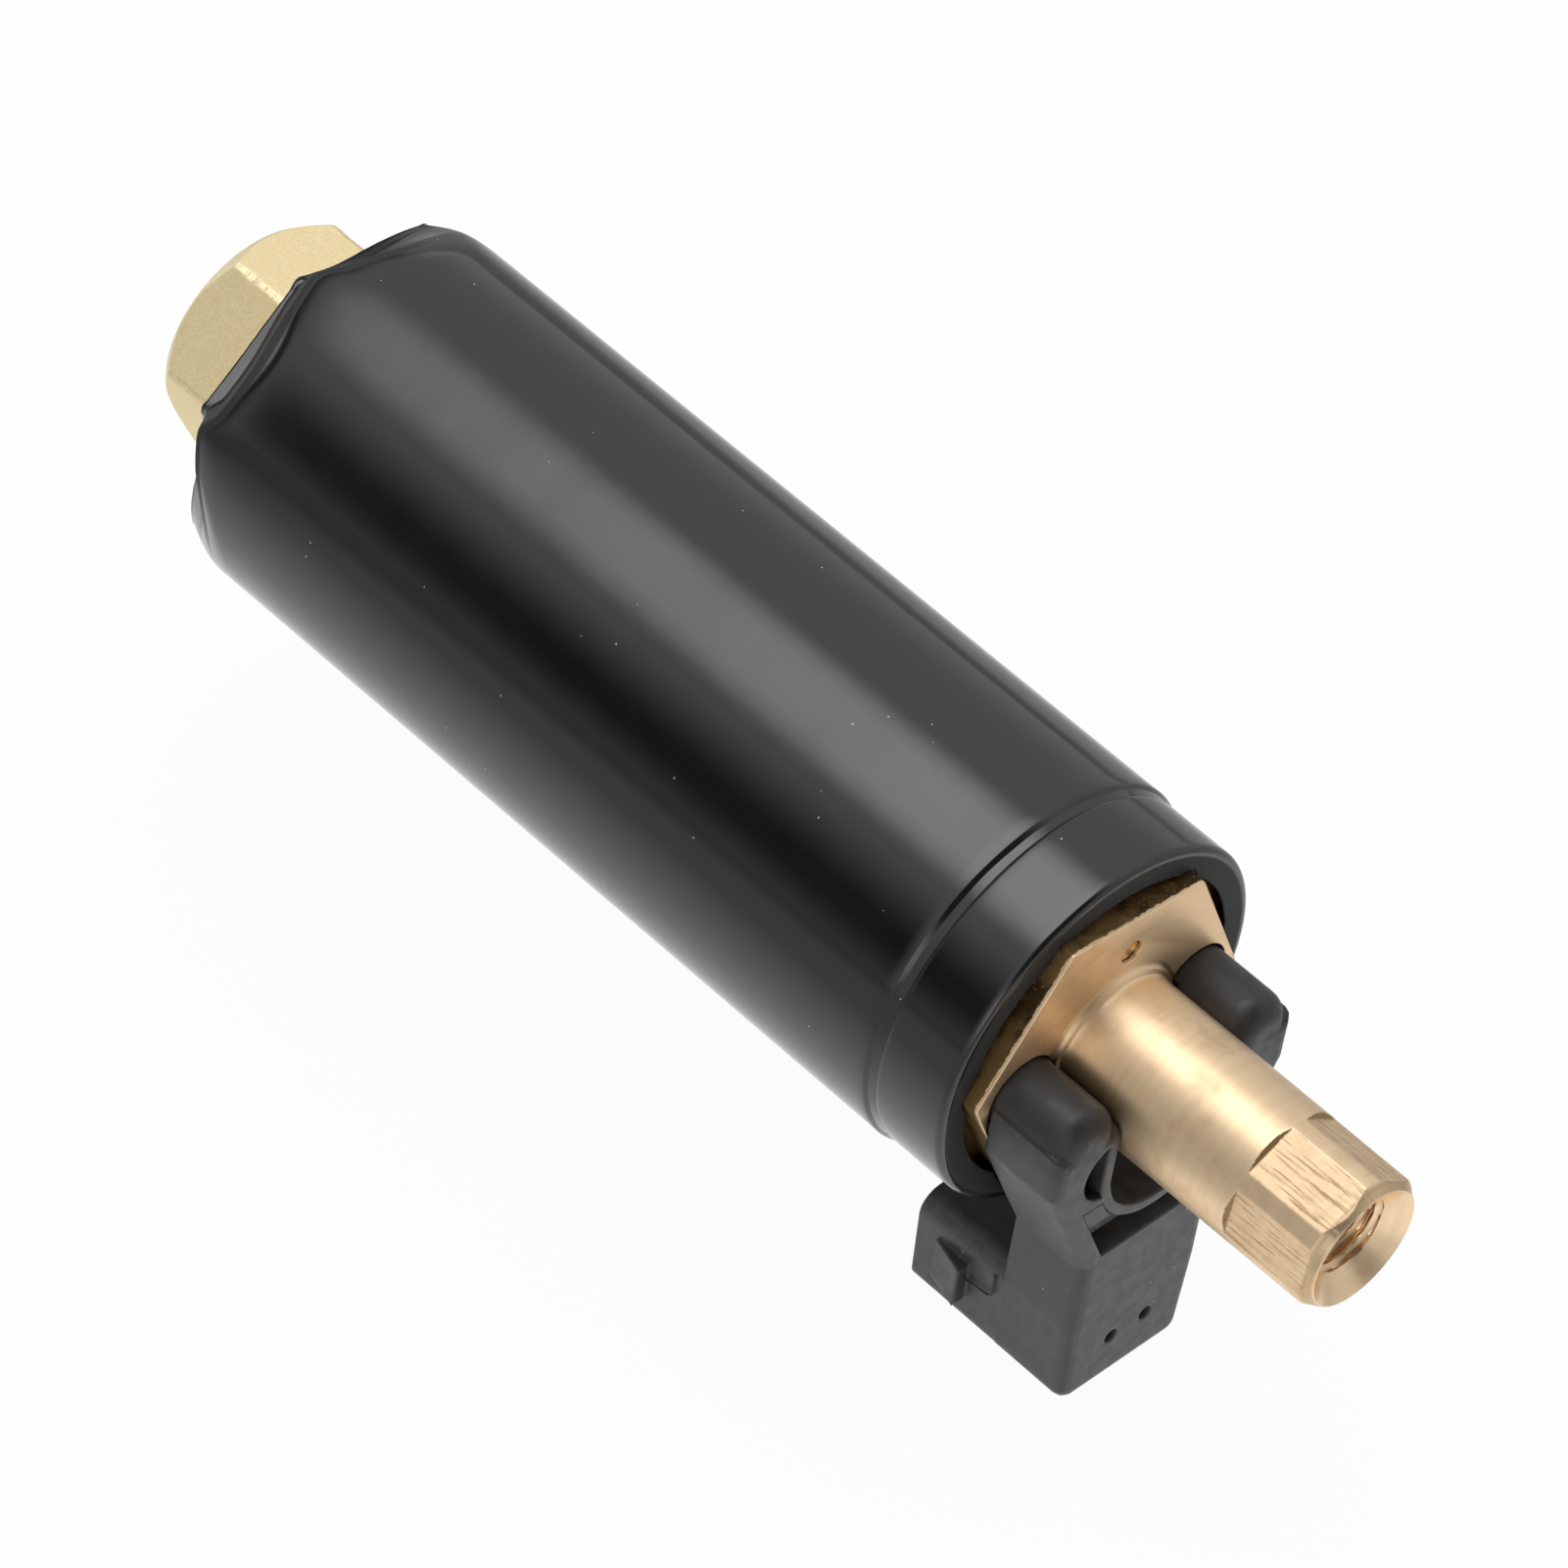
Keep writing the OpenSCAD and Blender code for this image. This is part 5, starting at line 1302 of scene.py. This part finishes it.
# %% Pieces: lines on the socket
def bead_line(name, points, thickness):
    """A round bead through points in millimetres, as a closed mesh."""
    route = [Vector(point) * MM for point in points]
    mesh = curve_mesh(name, "3D", [route], False, bevel_depth=thickness / 2 * MM,
                      use_fill_caps=True)
    mesh.shade_smooth()
    piece = add_object(name, mesh)
    fit(piece, "housing")
    print(name, "faces:", len(mesh.polygons))


socket_half, flap_x, flap_z = 11.0, rim_x + 1.1, -40.0
for side, label in ((-1, "near"), (1, "far")):
    wall = side * socket_half
    bead_line("flap_line_" + label, [(flap_x - 4.8, wall, flap_z - 0.6),
                                     (flap_x - 0.4, wall, flap_z),
                                     (flap_x, wall, flap_z + 0.4),
                                     (flap_x, wall, flap_z + 4.0)], 0.32)
    bead_line("nick_" + label, [(flap_x - 6.2, wall, flap_z - 4.7),
                                (flap_x - 4.9, wall, flap_z - 5.2)], 0.5)

# %% [markdown]
# The studio is a white room with a soft light above and the unlit room behind the photographer.
# Glossy film shows exactly that: a broad pale band on top, a black stripe low on the near side,
# and white again where it mirrors the table. The world is this room as a function of direction: it
# is made of steps along an axis, and of round patches, each a step in the distance to its middle.

# %% Helper: patch of light
def patch(tree, direction, middle, inner, outer, at_middle, beyond, narrow_x=1.0):
    """A round patch: at_middle within inner of its middle, beyond further out than outer."""
    stretch = Vector((narrow_x, 1.0, 1.0))
    stretched = put(tree, "VectorMath", {0: direction, 1: stretch}, operation="MULTIPLY")
    apart = put(tree, "VectorMath", {0: stretched.outputs[0],
                                     1: Vector(middle).normalized() * stretch},
                operation="DISTANCE").outputs["Value"]
    return band(tree, apart, inner, outer, at_middle, beyond)


print("a patch of light or dark is a step in the distance to its middle")

# %% [markdown]
# The softbox hangs above and behind, and stops short of the rear end. The room is brighter towards
# the ceiling. It is darkened beside the camera and over the front, and behind the pump there is a
# bright gap that the rear of the film mirrors. A small light fills the near front. What the camera
# itself sees is plain white.

# %% World
def studio_world():
    world = bpy.data.worlds.new("studio")
    bpy.context.scene.world = world
    world.use_nodes = True
    tree = world.node_tree
    tree.nodes.clear()
    direction = put(tree, "TexCoord").outputs["Generated"]
    axes = put(tree, "SeparateXYZ", {0: direction}).outputs

    above = Vector((-0.3, -0.02, 0.954)).normalized()
    towards_lamp = put(tree, "VectorMath", {0: direction, 1: above},
                       operation="DOT_PRODUCT").outputs["Value"]
    softbox = band(tree, towards_lamp, 0.87, 0.985, 0.0, 2.35)
    softbox = times(tree, softbox, band(tree, axes["X"], -0.62, -0.38))
    room = band(tree, axes["Z"], 0.3, 0.9, 0.64, 0.88)
    beside_camera = patch(tree, direction, (-0.445, -0.84, 0.31), inner=0.03, outer=0.6,
                          at_middle=0.06, beyond=1.0, narrow_x=2.2)
    over_front = patch(tree, direction, (0.6, -0.2, 0.78), inner=0.4, outer=0.8,
                       at_middle=0.1, beyond=1.0)
    rear_gap = band(tree, axes["X"], -0.95, -0.88, 2.8, 0.2)
    rear = mix_values(tree, band(tree, axes["X"], -0.76, -0.62), rear_gap, 1.0)
    near_fill = patch(tree, direction, (0.53, -0.79, 0.29), inner=0.12, outer=0.4,
                      at_middle=1.1, beyond=0.0)
    kept_light = times(tree, beside_camera, times(tree, over_front, rear))
    light = plus(tree, plus(tree, times(tree, room, kept_light), softbox), near_fill)
    seen = put(tree, "LightPath").outputs["Is Camera Ray"]
    background = put(tree, "Background", {"Color": (1, 1, 1, 1),
                                          "Strength": mix_values(tree, seen, light, 1.0)})
    put(tree, "OutputWorld", {"Surface": background.outputs[0]})
    print("world:", world.name)


studio_world()

# %% [markdown]
# The table is white paper. Seen directly it is burnt out to pure white, and metal and glass have to
# mirror that same white, so those rays get mostly a plain white and a little of the shaded paper,
# which carries the pump's own faint shadow. What the pump mirrors dims to both sides and behind
# it, as paper does away from its lamp. All other rays meet plain white paper.

# %% Floor
def studio_floor():
    half = 2500.0
    low = cad_box[0][2] / MM - 0.2
    corners = np.array([(-half, -half, low), (half, -half, low), (half, half, low),
                        (-half, half, low)])
    mesh = mesh_from("floor", corners, [(0, 1, 2, 3)])
    tree, shader = finish("white_floor", (0.9, 0.9, 0.9), 0.9)
    surface = shader.outputs[0].links[0].to_node
    rays = put(tree, "LightPath").outputs
    seen = rays["Is Camera Ray"]
    mirrored = math_node(tree, "MAXIMUM", rays["Is Glossy Ray"], rays["Is Transmission Ray"])
    white_share = times(tree, math_node(tree, "MAXIMUM", mirrored, seen), 0.95)
    across = put(tree, "SeparateXYZ", {0: here(tree)}).outputs
    beside = band(tree, math_node(tree, "ABSOLUTE", across["Y"]), 0.03, 0.16, 1.0, 0.52)
    behind = band(tree, across["X"], -0.24, -0.12, 0.55, 1.0)
    level = mix_values(tree, seen, times(tree, beside, behind), 1.0)
    white = put(tree, "Emission", {"Color": (1, 1, 1, 1), "Strength": level})
    paper = put(tree, "MixShader", {0: white_share, 1: shader.outputs[0], 2: white.outputs[0]})
    set_sockets(tree, surface, {"Surface": paper.outputs[0]})
    mesh.materials.append(finishes["white_floor"])
    floor = add_object("floor", mesh)
    return floor


floor = studio_floor()
print("floor at z =", round(floor.data.vertices[0].co.z, 4))
